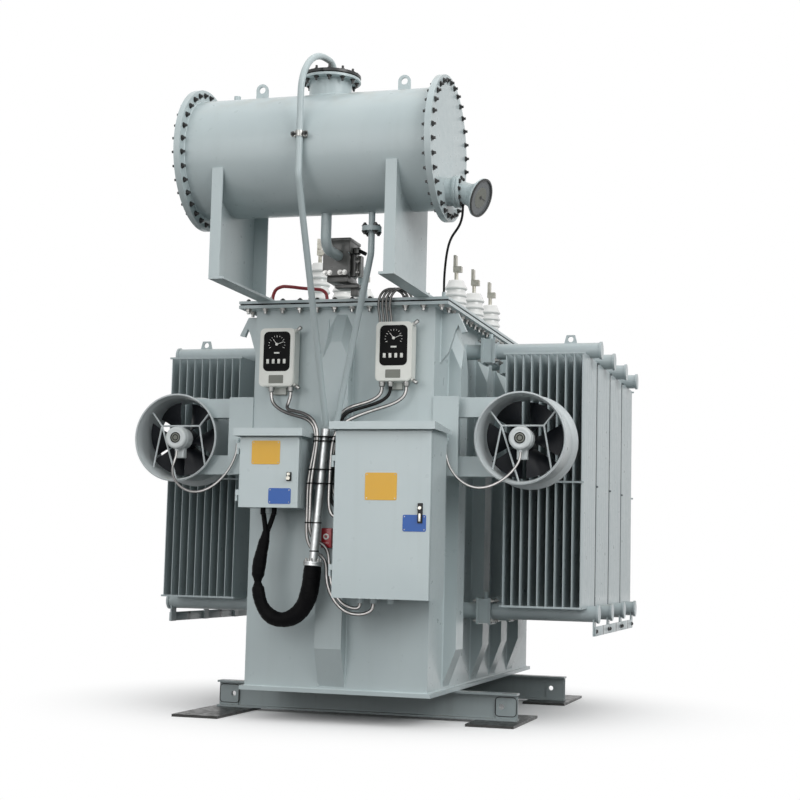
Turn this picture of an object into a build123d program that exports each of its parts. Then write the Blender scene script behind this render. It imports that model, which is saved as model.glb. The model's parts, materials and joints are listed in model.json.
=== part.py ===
from build123d import *
import os
from math import cos, radians, sin, sqrt, tan

# Oil-filled power transformer with a conservator, panel radiators and two fans.
# +Z is up, +X runs to the right along the short front face, +Y runs to the rear.
# The origin is on the ground, at the centre of the four hold-down holes. Sizes are in millimetres.

# Clearance between pieces that seat on each other
seat_gap = 0.3

# Ground plates
pad_width = 250
pad_length = 620
pad_thick = 14
pad_slip_front_left = 240
pad_slip_front_right = 40
pad_slip_rear = 90

# Skids
skid_length = 1660
skid_height = 140
skid_flange = 80
skid_flange_thick = 10
skid_web = 7
skid_gauge = 1380
hold_down_inset = 90
hold_down_offset = 22
hold_down_radius = 9
tow_plate_length = 105
tow_plate_thick = 8
tow_plate_gap = 8
tow_hole_radius = 14
tow_hole_inset = 85

# Tank
tank_width = 964
tank_length = 2424
tank_height = 1933
tank_wall = 8
floor_thick = 20
floor_lip = 22
rim_side = 80
rim_end = 53
rim_thick = 16
gasket_thick = 8
gasket_inset = 5
cover_thick = 14
lug_thick = 25
lug_inset = 124
lug_height = 255
lug_drop = 22
lug_outline = (
    (0, 0),
    (43, 55),
    (76, 163),
    (93, 196),
    (109, 153),
    (137, 159),
    (90, 255),
    (0, 255),
)

# Stiffeners of the tank walls
end_stiffener_width = 140
end_stiffener_depth = 80
end_stiffener_offset = 15
side_stiffener_width = 150
side_stiffener_depth = 70
side_stiffener_lead_share = 0.69
side_stiffener_shift = 40
stiffener_low_taper = 190
stiffener_high_taper = 150
stiffener_foot_gap = 14
stiffener_head_gap = 35
stiffener_peak_share = 0.3

# Radiators
radiator_count = 4
radiator_pitch_share = 0.1943
radiator_first_share = 0.2199
radiator_gap = 16
plate_count = 10
plate_pitch = 45
plate_height = 1329
plate_thick = 10
plate_edge = 4
plate_edge_taper = 22
plate_bottom = 597
header_radius = 42
header_low = 570
header_high = 1962
header_lead = 98
header_tail = 66
header_cap_radius = 48
header_cap_thick = 12
radiator_flange = 140
radiator_flange_thick = 14
valve_thick = 50
valve_width = 128
valve_stem_radius = 12
valve_stem_height = 34
stub_length = 94
comb_depth = 8
comb_height = 10
comb_overhang = 14
comb_shares = (0, 0.49, 1)
hanger_width = 90
hanger_top = 46
hanger_height = 85
hanger_thick = 10
hanger_hole_radius = 15
hanger_inset = 170
tab_width = 64
tab_thick = 8
tab_drop = 115
tab_inset = 26
link_height = 50
link_thick = 8
link_gap = 4
tie_height = 45
tie_thick = 8

# Fans
fan_reach = 441
fan_z = 1440
fan_inset = 12
duct_throat_radius = 212
duct_lip_radius = 228
duct_rear_radius = 238
duct_depth = 290
duct_bell = 50
duct_flare = 24
duct_wall = 4
motor_radius = 52
motor_length = 112
motor_cap_radius = 46
motor_cap_length = 16
motor_pad_width = 44
motor_pad_length = 40
motor_bore_depth = 26
motor_gland_radius = 10
motor_gland_length = 16
motor_gland_depth = 23
lead_gland_outset = 74
lead_gland_z = 1405
lead_gland_reach = 20
lead_gland_height = 30
lead_clip_height = 12
stay_radius = 5
stay_height = 66
stay_span = 108
stay_depth = 64
stay_high_angle = 40
stay_low_angle = -46
strut_angle = -94
hub_radius = 58
hub_length = 50
hub_gap = 12
shaft_radius = 9
shaft_clearance = 0.4
shaft_end_gap = 4
blade_count = 6
blade_root_chord = 62
blade_tip_chord = 104
blade_thick = 4
blade_root_sink = 6
blade_root_pitch = 42
blade_tip_pitch = 24
blade_tip_gap = 9
bracket_plate_width = 132
bracket_plate_thick = 8
bracket_leg = 150
bracket_low = 1250
bracket_height = 398
arm_height = 100
arm_depth = 70
arm_wall = 7

# Control cabinet and terminal box
cabinet_left = 84
cabinet_width = 484
cabinet_depth = 264
cabinet_bottom = 638
cabinet_height = 824
box_left = -445
box_width = 315
box_depth = 186
box_bottom = 1070
box_height = 366
rail_depth = 50
rail_height = 40
rail_thick = 5
rail_inset = 90
enclosure_wall = 3
enclosure_frame = 22
door_gap = 6
door_depth = 20
door_skin = 3
hood_front = 26
hood_rear = 6
hood_side = 24
hood_nose = 34
hood_lip = 12
hood_lip_thick = 3
hinge_radius = 7
hinge_height = 28
hinge_reach = 14
hinge_leaf = 3
hinge_leaf_width = 26
hinge_pin_radius = 3.5
hinge_pin_clearance = 0.3
hinge_gap = 1
hinge_shares = (0.16, 0.8)
lock_width = 24
lock_height = 96
lock_thick = 9
lock_inset = 48
lock_share = 0.5
box_lock_height = 44
box_lock_share = 0.42
gland_radius = 17
gland_length = 26
gland_wall = 5
side_gland_radius = 13
cabinet_gland_shares = (0.2, 0.34, 0.52)
cabinet_side_glands = ((-128, 1130), (-154, 1080), (-180, 1030))

# Temperature controllers
controller_width = 188
controller_height = 300
controller_depth = 82
controller_back = 18
controller_left_x = -327
controller_left_drop = 264
controller_right_x = 295
controller_right_drop = 242
controller_corner = 16
controller_window_width = 138
controller_window_height = 198
controller_window_corner = 24
controller_window_sink = 5
controller_window_share = 0.1
controller_foot_width = 60
controller_foot_reach = 20
controller_left_shares = (-0.2, 0.36)
controller_right_shares = (-0.36, -0.12, 0.32)

# Conservator
conservator_reach = 408
conservator_lift = 655
conservator_radius = 295
conservator_wall = 5
conservator_length = 1256
conservator_flange_radius = 352
conservator_flange_thick = 16
conservator_end_thick = 14
neck_x = 30
neck_radius = 105
neck_height = 70
neck_flange_radius = 149
neck_flange_thick = 12
neck_gasket_thick = 6
neck_gasket_inset = 4
neck_cover_thick = 14
eye_width = 62
eye_height = 66
eye_thick = 12
eye_hole_radius = 17
eye_left_x = -330
eye_right_x = 410
plug_x = -464
plug_radius = 17
plug_height = 30
saddle_inset = 17
saddle_web = 8
saddle_post_reach = 280
saddle_front_flange = 55
saddle_rear_flange = 80
saddle_flange_thick = 8
saddle_post_height = 533
saddle_foot_width = 78
saddle_foot_thick = 12
saddle_foot_tail = 290

# Oil level gauge
gauge_drop = 212
gauge_boss_radius = 68
gauge_boss_length = 34
gauge_flange_radius = 78
gauge_flange_thick = 14
gauge_tube_radius = 46
gauge_tube_length = 48
gauge_elbow = 30
gauge_bend = 60
gauge_gland_reach = 26
gauge_gland_length = 14
gauge_head_radius = 92
gauge_head_length = 62
gauge_rim_length = 26
gauge_glass_sink = 8
gauge_rim_wall = 9
gauge_tilt = 22
gauge_swing = 24

# Oil pipes and gas relay
pipe_radius = 16
pipe_bend = 90
breather_bend = 54
breather_lane_bend = 240
breather_x = 46
breather_rise = 64
breather_front = 326
breather_lane_x = -6
breather_kink_z = 2620
pipe_end_z = 1492
pipe_standoff = 126
breather_end_x = -40
filler_x = 262
filler_turn_z = 2300
filler_end_x = 12
filler_flange_radius = 48
filler_flange_thick = 12
filler_flange_z = 2420
relay_pipe_radius = 26
relay_pipe_bend = 60
relay_x = 28
relay_z = 2335
relay_reach = 108
relay_length = 180
relay_width = 116
relay_height = 128
relay_flange_radius = 58
relay_flange_thick = 14
relay_box_width = 112
relay_box_length = 96
relay_box_height = 62
relay_drop_inset = 202
relay_foot_radius = 62
relay_foot_thick = 14
relay_corner = 14
riser_radius = 22
riser_lean_x = -66
riser_standoff = 186
riser_bottom_z = 804.2
riser_flange_radius = 44
riser_flange_thick = 14
alarm_x = 8
alarm_z = 928
alarm_width = 54
alarm_height = 100
alarm_depth = 44
alarm_corner = 6

# Bushings
bushing_inset = 82
bushing_first_y = -480
bushing_pitch = 420
bushing_count = 3
bushing_base_radius = 66
bushing_base_height = 26
bushing_core_radius = 50
bushing_top_radius = 44
bushing_shed_radius = 63
bushing_shed_thick = 16
lv_porcelain_height = 200
lv_shed_count = 4
hv_porcelain_height = 320
hv_shed_count = 7
stud_radius = 11
stud_height = 46
clamp_width = 46
clamp_depth = 34
clamp_height = 32
clamp_offset = 8
blade_terminal_width = 42
blade_terminal_thick = 14
blade_terminal_offset = 6
blade_terminal_height = 62

# Free cables, each along its own route
trunk_radius = 30
trunk_run = (
    (-66.5, -187.3, 790),
    (-68.6, -192.1, 735),
    (-74, -195, 670),
    (-96, -196, 595),
    (-145, -196, 538),
    (-212, -195, 514),
    (-282, -193, 530),
    (-334, -190, 590),
    (-356, -186, 680),
    (-356, -180, 775),
    (-341, -172, 870),
    (-322, -168, 960),
    (-322, -168, 1043.7),
)
fan_lead_radius = 6.5
right_lead_run = (
    (441, 35, 1371.7),
    (441, 35, 1344),
    (430, 26, 1312),
    (408, 9, 1276),
    (376, -12, 1240),
    (334, -30, 1210),
    (284, -41, 1190),
    (232, -46, 1188),
    (180, -46, 1206),
    (134, -42, 1242),
    (100, -36, 1288),
    (81, -30, 1334),
    (74, -28, 1372),
    (74, -28, 1404.7),
)
left_lead_run = (
    (441, 35, 1371.7),
    (441, 35, 1346),
    (449, 25, 1314),
    (450, 6, 1276),
    (434, -14, 1234),
    (402, -32, 1196),
    (356, -45, 1166),
    (300, -52, 1150),
    (242, -54, 1158),
    (188, -50, 1186),
    (142, -44, 1228),
    (107, -37, 1277),
    (85, -31, 1327),
    (74, -28, 1370),
    (74, -28, 1404.7),
)
gauge_lead_radius = 6
cover_gland_outset = 48
cover_gland_reach = 24
gauge_lead_shares = (
    (1, 1, 1),
    (1, 1, 0.911),
    (0.968, 0.969, 0.816),
    (0.871, 0.901, 0.731),
    (0.72, 0.807, 0.675),
    (0.559, 0.693, 0.63),
    (0.409, 0.562, 0.558),
    (0.28, 0.422, 0.445),
    (0.172, 0.281, 0.316),
    (0.081, 0.146, 0.193),
    (0.022, 0.042, 0.103),
    (0, 0, 0.052),
    (0, 0, 0),
)

# Conduits, capillaries and the cover tube, held between their two ends
arc_share = 0.45
conduit_radius = 8
conduit_runs = (
    (
        (-364.6, -59, 1666.7), (-364.6, -59, 1644), (-352, -63, 1610), (-316, -74, 1580),
        (-262, -90, 1556), (-205, -110, 1540), (-148, -128, 1526), (-106, -138, 1496),
        (-88, -143, 1450), (-88, -148, 1395), (-97, -155, 1325), (-108, -162, 1250),
        (-113, -168, 1170), (-111, -172, 1095), (-110, -172, 1030), (-113, -168, 970),
        (-111, -159, 915), (-90, -145, 868), (-54, -138, 846), (-22, -144, 822),
        (-6, -158, 786), (0, -172, 745), (10, -182, 698), (32, -189, 648),
        (68, -193, 600), (115, -194, 566), (165, -192, 556), (206, -188, 560),
        (236, -183.5, 574), (248.6, -182, 592), (248.6, -182, 611.7),
    ),
    (
        (-259.3, -59, 1666.7), (-259.3, -59, 1644), (-268, -66, 1612), (-271, -78, 1588),
        (-255, -94, 1572), (-214, -113, 1564), (-162, -131, 1552), (-114, -148, 1528),
        (-82, -158, 1488), (-70, -164, 1435), (-73, -170, 1365), (-81, -176, 1290),
        (-88, -182, 1225), (-91, -186, 1160), (-90, -189, 1095), (-90, -189, 1035),
        (-93, -184, 990), (-92, -173, 956), (-88, -154, 932), (-68, -140, 914),
        (-42, -137, 898), (-15, -144, 878), (4, -158, 846), (14, -174, 795),
        (24, -185, 735), (42, -192, 680), (66, -196, 636), (98, -196, 604),
        (134, -192, 589), (164, -185.5, 585), (180.8, -182, 595), (180.8, -182, 611.7),
    ),
    (
        (227.3, -59, 1688.7), (227.3, -59, 1666), (212, -65, 1640), (174, -74, 1617),
        (122, -84, 1600), (68, -91, 1584), (32, -92, 1560), (10, -92.5, 1526),
        (2, -93, 1478), (0, -95, 1420), (-2, -98, 1350), (-2, -105, 1285),
        (-2, -115, 1220), (3, -122, 1170), (17, -127, 1141), (36, -128, 1130),
        (57.7, -128, 1130),
    ),
    (
        (272.4, -59, 1688.7), (272.4, -59, 1664), (256, -67, 1634), (216, -80, 1608),
        (160, -94, 1588), (104, -103, 1572), (62, -107, 1556), (38, -107, 1528),
        (30, -105, 1488), (24, -110, 1432), (14, -119, 1365), (4, -128, 1285),
        (-1, -137, 1205), (1, -146, 1134), (15, -152, 1095), (36, -154, 1080),
        (57.7, -154, 1080),
    ),
    (
        (355.2, -59, 1688.7), (355.2, -59, 1662), (338, -69, 1630), (298, -85, 1602),
        (240, -104, 1580), (178, -121, 1558), (118, -134, 1534), (70, -143, 1508),
        (34, -149, 1474), (12, -151, 1430), (2, -151, 1378), (-1, -152, 1320),
        (-2, -155, 1250), (-2, -161, 1170), (1, -170, 1094), (15, -178, 1047),
        (36, -180, 1030), (57.7, -180, 1030),
    ),
)
capillary_radius = 6.5
capillary_pitch = 20
capillary_count = 4
capillary_run = (
    (-87, -59, -129.7), (-87, -59, -105), (-91, -68, -69), (-92, -78, -33),
    (-85, -79, 3), (-69, -67, 33), (-45, -44, 48), (-17, -16, 48),
    (4, 7, 35), (13, 18, 19), (13, 18, 0.3),
)
cover_tube_radius = 9
cover_tube_run = (
    (-480, 212, 0.3), (-480, 212, 35), (-478, 212, 75), (-462, 211, 109),
    (-424, 210, 123), (-370, 209, 118), (-310, 210, 109), (-250, 212, 104),
    (-202, 212, 99), (-176, 212, 79), (-170, 212, 45), (-170, 212, 0.3),
)

# Clamp that holds the cable riser on the front stiffener
clamp_left = -104
clamp_right = 8
clamp_z = 1178
clamp_bar_height = 16
clamp_bar_depth = 14
clamp_block_width = 30

# Levels and places worked out from the sizes above
skid_bottom = pad_thick
skid_top = skid_bottom + skid_height
floor_top = skid_top + floor_thick
rim_bottom = floor_top + tank_height
gasket_bottom = rim_bottom + rim_thick
cover_bottom = gasket_bottom + gasket_thick
cover_top = cover_bottom + cover_thick
side_x = tank_width / 2
front_y = -tank_length / 2
fan_x = side_x + fan_reach
fan_front_y = front_y + fan_inset
lead_gland_x = side_x + lead_gland_outset
saddle_half_span = side_x - saddle_inset
controller_left_z = rim_bottom - controller_left_drop
controller_right_z = rim_bottom - controller_right_drop
conservator_y = front_y - conservator_reach
conservator_z = cover_top + conservator_lift
pipe_end_y = front_y - pipe_standoff
relay_y = front_y - relay_reach
relay_drop_y = front_y + relay_drop_inset
riser_lean_y = front_y - riser_standoff
cover_gland_x = side_x + cover_gland_outset
cover_gland_y = front_y - cover_gland_reach
cover_width = tank_width + 2 * rim_side
cover_length = tank_length + 2 * rim_end
valve_x = side_x + stub_length + radiator_flange_thick
radiator_x = valve_x + valve_thick
first_plate_x = radiator_x + radiator_flange_thick + header_lead
last_plate_x = first_plate_x + plate_pitch * (plate_count - 1)
header_end_x = last_plate_x + header_tail
radiator_pitch = radiator_pitch_share * tank_length
radiator_first_y = -radiator_first_share * tank_length
radiator_ys = [radiator_first_y + radiator_pitch * i for i in range(radiator_count)]
plate_width = radiator_pitch - radiator_gap
bushing_x = side_x - bushing_inset
bushing_ys = [bushing_first_y + bushing_pitch * i for i in range(bushing_count)]
conservator_half = conservator_length / 2
conservator_end_x = conservator_half + conservator_end_thick
conservator_low = conservator_z - conservator_radius
enclosure_back = front_y - rail_depth
neck_top = conservator_z + conservator_radius + neck_height
neck_cover_bottom = neck_top + neck_flange_thick + neck_gasket_thick
neck_cover_top = neck_cover_bottom + neck_cover_thick

upright = (Align.CENTER, Align.CENTER, Align.MIN)

os.makedirs("parts", exist_ok=True)


def keep(part, name):
    """Label a finished piece and write it to its own file."""
    part.label = name
    export_step(part, f"parts/{name}.step")


def wall_plane(origin, outward):
    """Plane whose local X points out of a wall and whose local Y points up."""
    return Plane(origin=origin, x_dir=outward, z_dir=Vector(outward).cross(Vector(0, 0, 1)))


def rod(start, end, radius, mode=Mode.ADD):
    """Round bar from start to end, added to or cut from the part being built."""
    run = Vector(end) - Vector(start)
    with Locations(Plane(origin=start, z_dir=run).location):
        Cylinder(radius, run.length, align=(Align.CENTER, Align.CENTER, Align.MIN), mode=mode)


def bend_radii(route):
    """Largest arc that the two runs beside each corner of a route leave room for."""
    points = [Vector(p) for p in route]
    radii = []
    for before, corner, after in zip(points, points[1:], points[2:]):
        turn = (corner - before).get_angle(after - corner)
        run = min((corner - before).length, (after - corner).length)
        radii.append(arc_share * run / tan(radians(turn / 2)))
    return radii


def tube(route, radius, bends):
    """Round tube along straight runs joined by tangent arcs."""
    with BuildPart() as body:
        with BuildLine() as line:
            FilletPolyline(*route, radius=bends)
        with BuildSketch(Plane(origin=line.wire() @ 0, z_dir=line.wire() % 0)):
            Circle(radius)
        sweep(path=line.wire())
    return body.part


def off_front(run):
    """Route whose points are given from the front wall of the tank."""
    return [(x, front_y + y, z) for x, y, z in run]


def off_corner(run, side):
    """Route whose points are given outwards from a front corner of the tank."""
    return [(side * (side_x + x), front_y + y, z) for x, y, z in run]


def between(low, high, shares):
    """Route whose points are shares of the way from one end to the other."""
    return [tuple(a + (b - a) * t for a, b, t in zip(low, high, point)) for point in shares]


def cable(name, route, radius):
    """Free cable along its route, with its bend radii printed."""
    radii = bend_radii(route)
    part = tube(route, radius, radii)
    print(name, "bend radii", [round(r) for r in radii], "volume", round(part.volume))
    keep(part, name)


# Ground plates under the skid ends, each shifted as it was laid
pad_x = (skid_length / 2 - hold_down_inset)
pad_y = skid_gauge / 2
hold_down_y = pad_y + hold_down_offset
pad_places = (
    (-pad_x, -pad_y - pad_slip_front_left),
    (pad_x, -pad_y + pad_slip_front_right),
    (-pad_x, pad_y),
    (pad_x, pad_y + pad_slip_rear),
)
with BuildPart() as ground_plates:
    with BuildSketch():
        with Locations(*pad_places):
            Rectangle(pad_width, pad_length)
        with Locations(*[(x, y) for x in (-pad_x, pad_x) for y in (-hold_down_y, hold_down_y)]):
            Circle(hold_down_radius, mode=Mode.SUBTRACT)
    extrude(amount=pad_thick)
keep(ground_plates.part, "ground_plates")


def skid(y, outward):
    """I-beam skid with doubled ends, tow holes and hold-down holes."""
    mid_z = skid_bottom + skid_height / 2
    clear_height = skid_height - 2 * skid_flange_thick
    flange_z = (skid_height - skid_flange_thick) / 2
    tow_x = skid_length / 2 - tow_hole_inset
    tow_plate_x = (skid_length - tow_plate_length) / 2 - tow_plate_gap
    with BuildPart() as beam:
        with BuildSketch(Plane(origin=(-skid_length / 2, y, mid_z), x_dir=(0, 1, 0), z_dir=(1, 0, 0))):
            Rectangle(skid_web, skid_height)
            with Locations((0, flange_z), (0, -flange_z)):
                Rectangle(skid_flange, skid_flange_thick)
        extrude(amount=skid_length)
        with Locations((tow_plate_x, y, mid_z), (-tow_plate_x, y, mid_z)):
            Box(tow_plate_length, skid_web + 2 * tow_plate_thick, clear_height)
        with Locations(
            Location((tow_x, y, mid_z), (90, 0, 0)), Location((-tow_x, y, mid_z), (90, 0, 0))
        ):
            Cylinder(tow_hole_radius, skid_flange, mode=Mode.SUBTRACT)
        hole_y = y + outward * hold_down_offset
        with Locations((-pad_x, hole_y, skid_bottom), (pad_x, hole_y, skid_bottom)):
            Cylinder(hold_down_radius, 2 * (skid_flange_thick + seat_gap), mode=Mode.SUBTRACT)
    return beam.part


keep(skid(-pad_y, -1), "front_skid")
keep(skid(pad_y, 1), "rear_skid")

# Tank floor, wall shell, rim flange, gasket and cover
with BuildPart() as tank_floor:
    with BuildSketch(Plane.XY.offset(skid_top)):
        Rectangle(tank_width + 2 * floor_lip, tank_length + 2 * floor_lip)
    extrude(amount=floor_thick)
keep(tank_floor.part, "tank_floor")

# Wall shell with four plate lugs below the rim, each hooked for a lifting sling
lug_y = tank_length / 2 - lug_inset
lug_z = rim_bottom - lug_drop - lug_height
with BuildPart() as tank_walls:
    with BuildSketch(Plane.XY.offset(floor_top)):
        Rectangle(tank_width, tank_length)
        Rectangle(tank_width - 2 * tank_wall, tank_length - 2 * tank_wall, mode=Mode.SUBTRACT)
    extrude(amount=tank_height)
    for side in (-1, 1):
        for y in (-lug_y, lug_y):
            with BuildSketch(wall_plane((side * side_x, y, lug_z), (side, 0, 0))):
                Polygon(*lug_outline, align=None)
            extrude(amount=lug_thick / 2, both=True)
keep(tank_walls.part, "tank_walls")

with BuildPart() as tank_rim:
    with BuildSketch(Plane.XY.offset(rim_bottom)):
        Rectangle(cover_width, cover_length)
        Rectangle(tank_width - 2 * tank_wall, tank_length - 2 * tank_wall, mode=Mode.SUBTRACT)
    extrude(amount=rim_thick)
keep(tank_rim.part, "tank_rim")

with BuildPart() as cover_gasket:
    with BuildSketch(Plane.XY.offset(gasket_bottom)):
        Rectangle(cover_width - 2 * gasket_inset, cover_length - 2 * gasket_inset)
        Rectangle(tank_width - 2 * tank_wall, tank_length - 2 * tank_wall, mode=Mode.SUBTRACT)
    extrude(amount=gasket_thick)
keep(cover_gasket.part, "cover_gasket")

with BuildPart() as tank_cover:
    with BuildSketch(Plane.XY.offset(cover_bottom)):
        Rectangle(cover_width, cover_length)
    extrude(amount=cover_thick)
    with Locations((cover_gland_x, cover_gland_y, cover_top)):
        Cylinder(motor_gland_radius, gland_length, align=upright)
keep(tank_cover.part, "tank_cover")


def stiffener(origin, outward, width, depth):
    """Hat stiffener on a tank wall, drawn in towards the wall at its foot and its head."""
    height = tank_height - stiffener_foot_gap - stiffener_head_gap
    base = Vector(origin) + Vector(0, 0, stiffener_foot_gap)
    peak = stiffener_peak_share * width
    with BuildPart() as hat:
        with BuildSketch(wall_plane(base, outward)):
            with BuildLine():
                Polyline(
                    (0, 0), (depth, stiffener_low_taper), (depth, height - stiffener_high_taper),
                    (0, height), close=True,
                )
            make_face()
        extrude(amount=width / 2, both=True)
        heads = hat.edges().filter_by(GeomType.LINE).filter_by(
            lambda e: e.bounding_box().size.Z > stiffener_high_taper / 2
        ).group_by(Axis.Z)[-1]
        chamfer(heads, peak)
    return hat.part


# Stiffeners on the long walls, between the radiator stubs, and one at each end
stiffener_ys = [radiator_ys[0] - side_stiffener_lead_share * radiator_pitch]
stiffener_ys += [(a + b) / 2 + side_stiffener_shift for a, b in zip(radiator_ys, radiator_ys[1:])]
with BuildPart() as side_stiffeners:
    for side in (-1, 1):
        for y in stiffener_ys:
            origin = (side * side_x, y, floor_top)
            add(stiffener(origin, (side, 0, 0), side_stiffener_width, side_stiffener_depth))
keep(side_stiffeners.part, "side_stiffeners")

rear_foot = (-end_stiffener_offset, tank_length / 2, floor_top)
keep(stiffener(rear_foot, (0, 1, 0), end_stiffener_width, end_stiffener_depth), "rear_stiffener")

# One radiator on the right, centred on Y, from which all eight are placed
plate_xs = [first_plate_x + plate_pitch * i for i in range(plate_count)]
plate_mid_x = (first_plate_x + last_plate_x) / 2
header_length = header_end_x - radiator_x
with BuildPart() as radiator:
    with BuildSketch(Plane.XY.offset(plate_bottom)):
        with Locations(*[(x, 0) for x in plate_xs]):
            Polygon(
                (-plate_edge / 2, -plate_width / 2), (plate_edge / 2, -plate_width / 2),
                (plate_thick / 2, plate_edge_taper - plate_width / 2),
                (plate_thick / 2, plate_width / 2 - plate_edge_taper),
                (plate_edge / 2, plate_width / 2), (-plate_edge / 2, plate_width / 2),
                (-plate_thick / 2, plate_width / 2 - plate_edge_taper),
                (-plate_thick / 2, plate_edge_taper - plate_width / 2), align=None,
            )
    extrude(amount=plate_height)
    for z in (header_low, header_high):
        with Locations(Location((radiator_x, 0, z), (0, 90, 0))):
            Cylinder(header_radius, header_length, align=(Align.CENTER, Align.CENTER, Align.MIN))
        with Locations(Location((header_end_x - header_cap_thick, 0, z), (0, 90, 0))):
            Cylinder(header_cap_radius, header_cap_thick, align=(Align.CENTER, Align.CENTER, Align.MIN))
        with Locations((radiator_x + radiator_flange_thick / 2, 0, z)):
            Box(radiator_flange_thick, radiator_flange, radiator_flange)
    comb_length = last_plate_x - first_plate_x + 2 * comb_overhang
    for share in comb_shares:
        comb_z = plate_bottom + comb_height / 2 + share * (plate_height - comb_height)
        with Locations((plate_mid_x, -plate_width / 2, comb_z), (plate_mid_x, plate_width / 2, comb_z)):
            Box(comb_length, comb_depth, comb_height)
    hanger_plane = Plane((header_end_x - hanger_inset, 0, header_high), x_dir=(1, 0, 0), z_dir=(0, -1, 0))
    with BuildSketch(hanger_plane):
        Polygon(
            (-hanger_width / 2, 0), (hanger_width / 2, 0), (hanger_top / 2, hanger_height),
            (-hanger_top / 2, hanger_height), align=None,
        )
        with Locations((0, hanger_height - hanger_top / 2)):
            Circle(hanger_hole_radius, mode=Mode.SUBTRACT)
    extrude(amount=hanger_thick / 2, both=True)
    with Locations((header_end_x - tab_inset, 0, header_low - tab_drop / 2)):
        Box(tab_thick, tab_width, tab_drop)

for number, y in enumerate(radiator_ys, 1):
    for name, turn in (("right", 0), ("left", 180)):
        with BuildPart() as placed:
            with Locations(Location((0, y, 0), (0, 0, turn))):
                add(radiator.part)
        keep(placed.part, f"{name}_radiator_{number}")


# Stub pipes, flanges and shut-off valves between the long walls and the radiators
stub_flange_x = side_x + stub_length + radiator_flange_thick / 2
with BuildPart() as radiator_valves:
    for side in (-1, 1):
        outward_turn = (0, side * 90, 0)
        for y in radiator_ys:
            for z in (header_low, header_high):
                with Locations(Location((side * side_x, y, z), outward_turn)):
                    Cylinder(header_radius, stub_length, align=upright)
                with Locations((side * stub_flange_x, y, z)):
                    Box(radiator_flange_thick, radiator_flange, radiator_flange)
                with Locations((side * (valve_x + valve_thick / 2), y, z)):
                    Box(valve_thick, valve_width, valve_width)
                    Cylinder(valve_stem_radius, valve_width / 2 + valve_stem_height, align=upright)
keep(radiator_valves.part, "radiator_valves")

# Link bars below the header ends, and a tie bar across the upper header caps of each row
link_x = header_end_x - tab_inset + (tab_thick + link_thick) / 2
link_z = header_low - tab_drop + link_height / 2
tie_length = radiator_ys[-1] - radiator_ys[0] + 2 * header_cap_radius
tie_y = (radiator_ys[0] + radiator_ys[-1]) / 2
with BuildPart() as radiator_links:
    for side in (-1, 1):
        with Locations(*[(side * link_x, y + radiator_pitch / 2, link_z) for y in radiator_ys[:-1]]):
            Box(link_thick, radiator_pitch - link_gap, link_height)
        with Locations((side * (header_end_x + tie_thick / 2), tie_y, header_high)):
            Box(tie_thick, tie_length, tie_height)
keep(radiator_links.part, "radiator_links")


def fan_duct(side):
    """Bell-mouthed fan duct with the stay rods that carry the motor."""
    centre = (side * fan_x, fan_front_y, fan_z)
    straight_end = duct_depth - duct_flare
    outer = duct_throat_radius + duct_wall
    wall_mid = duct_throat_radius + duct_wall / 2
    with BuildPart() as duct:
        with BuildSketch(Plane(centre, x_dir=(1, 0, 0), z_dir=(0, 0, 1))):
            with BuildLine():
                TangentArc((duct_throat_radius, duct_bell), (duct_lip_radius, 0), tangent=(0, -1))
                Line((duct_lip_radius, 0), (duct_lip_radius + duct_wall, 0))
                TangentArc((outer, duct_bell), (duct_lip_radius + duct_wall, 0), tangent=(0, -1))
                Line((outer, duct_bell), (outer, straight_end))
                Line((outer, straight_end), (duct_rear_radius + duct_wall, duct_depth))
                Line((duct_rear_radius + duct_wall, duct_depth), (duct_rear_radius, duct_depth))
                Line((duct_rear_radius, duct_depth), (duct_throat_radius, straight_end))
                Line((duct_throat_radius, straight_end), (duct_throat_radius, duct_bell))
            make_face()
        revolve(axis=Axis(centre, (0, 1, 0)))

        def stay_point(across, up):
            return (side * fan_x + across, fan_front_y + stay_depth, fan_z + up)

        def wall_point(angle):
            return stay_point(wall_mid * cos(radians(angle)), wall_mid * sin(radians(angle)))

        right_corner = stay_point(stay_span, stay_height)
        left_corner = stay_point(-stay_span, stay_height)
        rod(left_corner, right_corner, stay_radius)
        rod(right_corner, wall_point(stay_high_angle), stay_radius)
        rod(right_corner, wall_point(stay_low_angle), stay_radius)
        rod(left_corner, wall_point(180 - stay_high_angle), stay_radius)
        rod(left_corner, wall_point(180 - stay_low_angle), stay_radius)
        rod(left_corner, wall_point(strut_angle), stay_radius)
        with Locations(left_corner, right_corner):
            Sphere(stay_radius)
    return duct.part


def fan_motor(side):
    """Fan motor hung from the stay rods, with its lead gland below."""
    x = side * fan_x
    back_turn = (-90, 0, 0)
    pad_height = stay_height - stay_radius - seat_gap
    with BuildPart() as motor:
        with Locations(Location((x, fan_front_y, fan_z), back_turn)):
            Cylinder(motor_cap_radius, motor_cap_length, align=upright)
        with Locations(Location((x, fan_front_y + motor_cap_length, fan_z), back_turn)):
            Cylinder(motor_radius, motor_length - motor_cap_length, align=upright)
        with Locations((x, fan_front_y + stay_depth, fan_z)):
            Box(motor_pad_width, motor_pad_length, pad_height, align=upright)
        with Locations(Location((x, fan_front_y + motor_gland_depth, fan_z), (180, 0, 0))):
            Cylinder(motor_gland_radius, motor_radius + motor_gland_length, align=upright)
        with Locations(Location((x, fan_front_y + motor_length, fan_z), (90, 0, 0))):
            Cylinder(shaft_radius + shaft_clearance, motor_bore_depth, align=upright, mode=Mode.SUBTRACT)
    return motor.part


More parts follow.
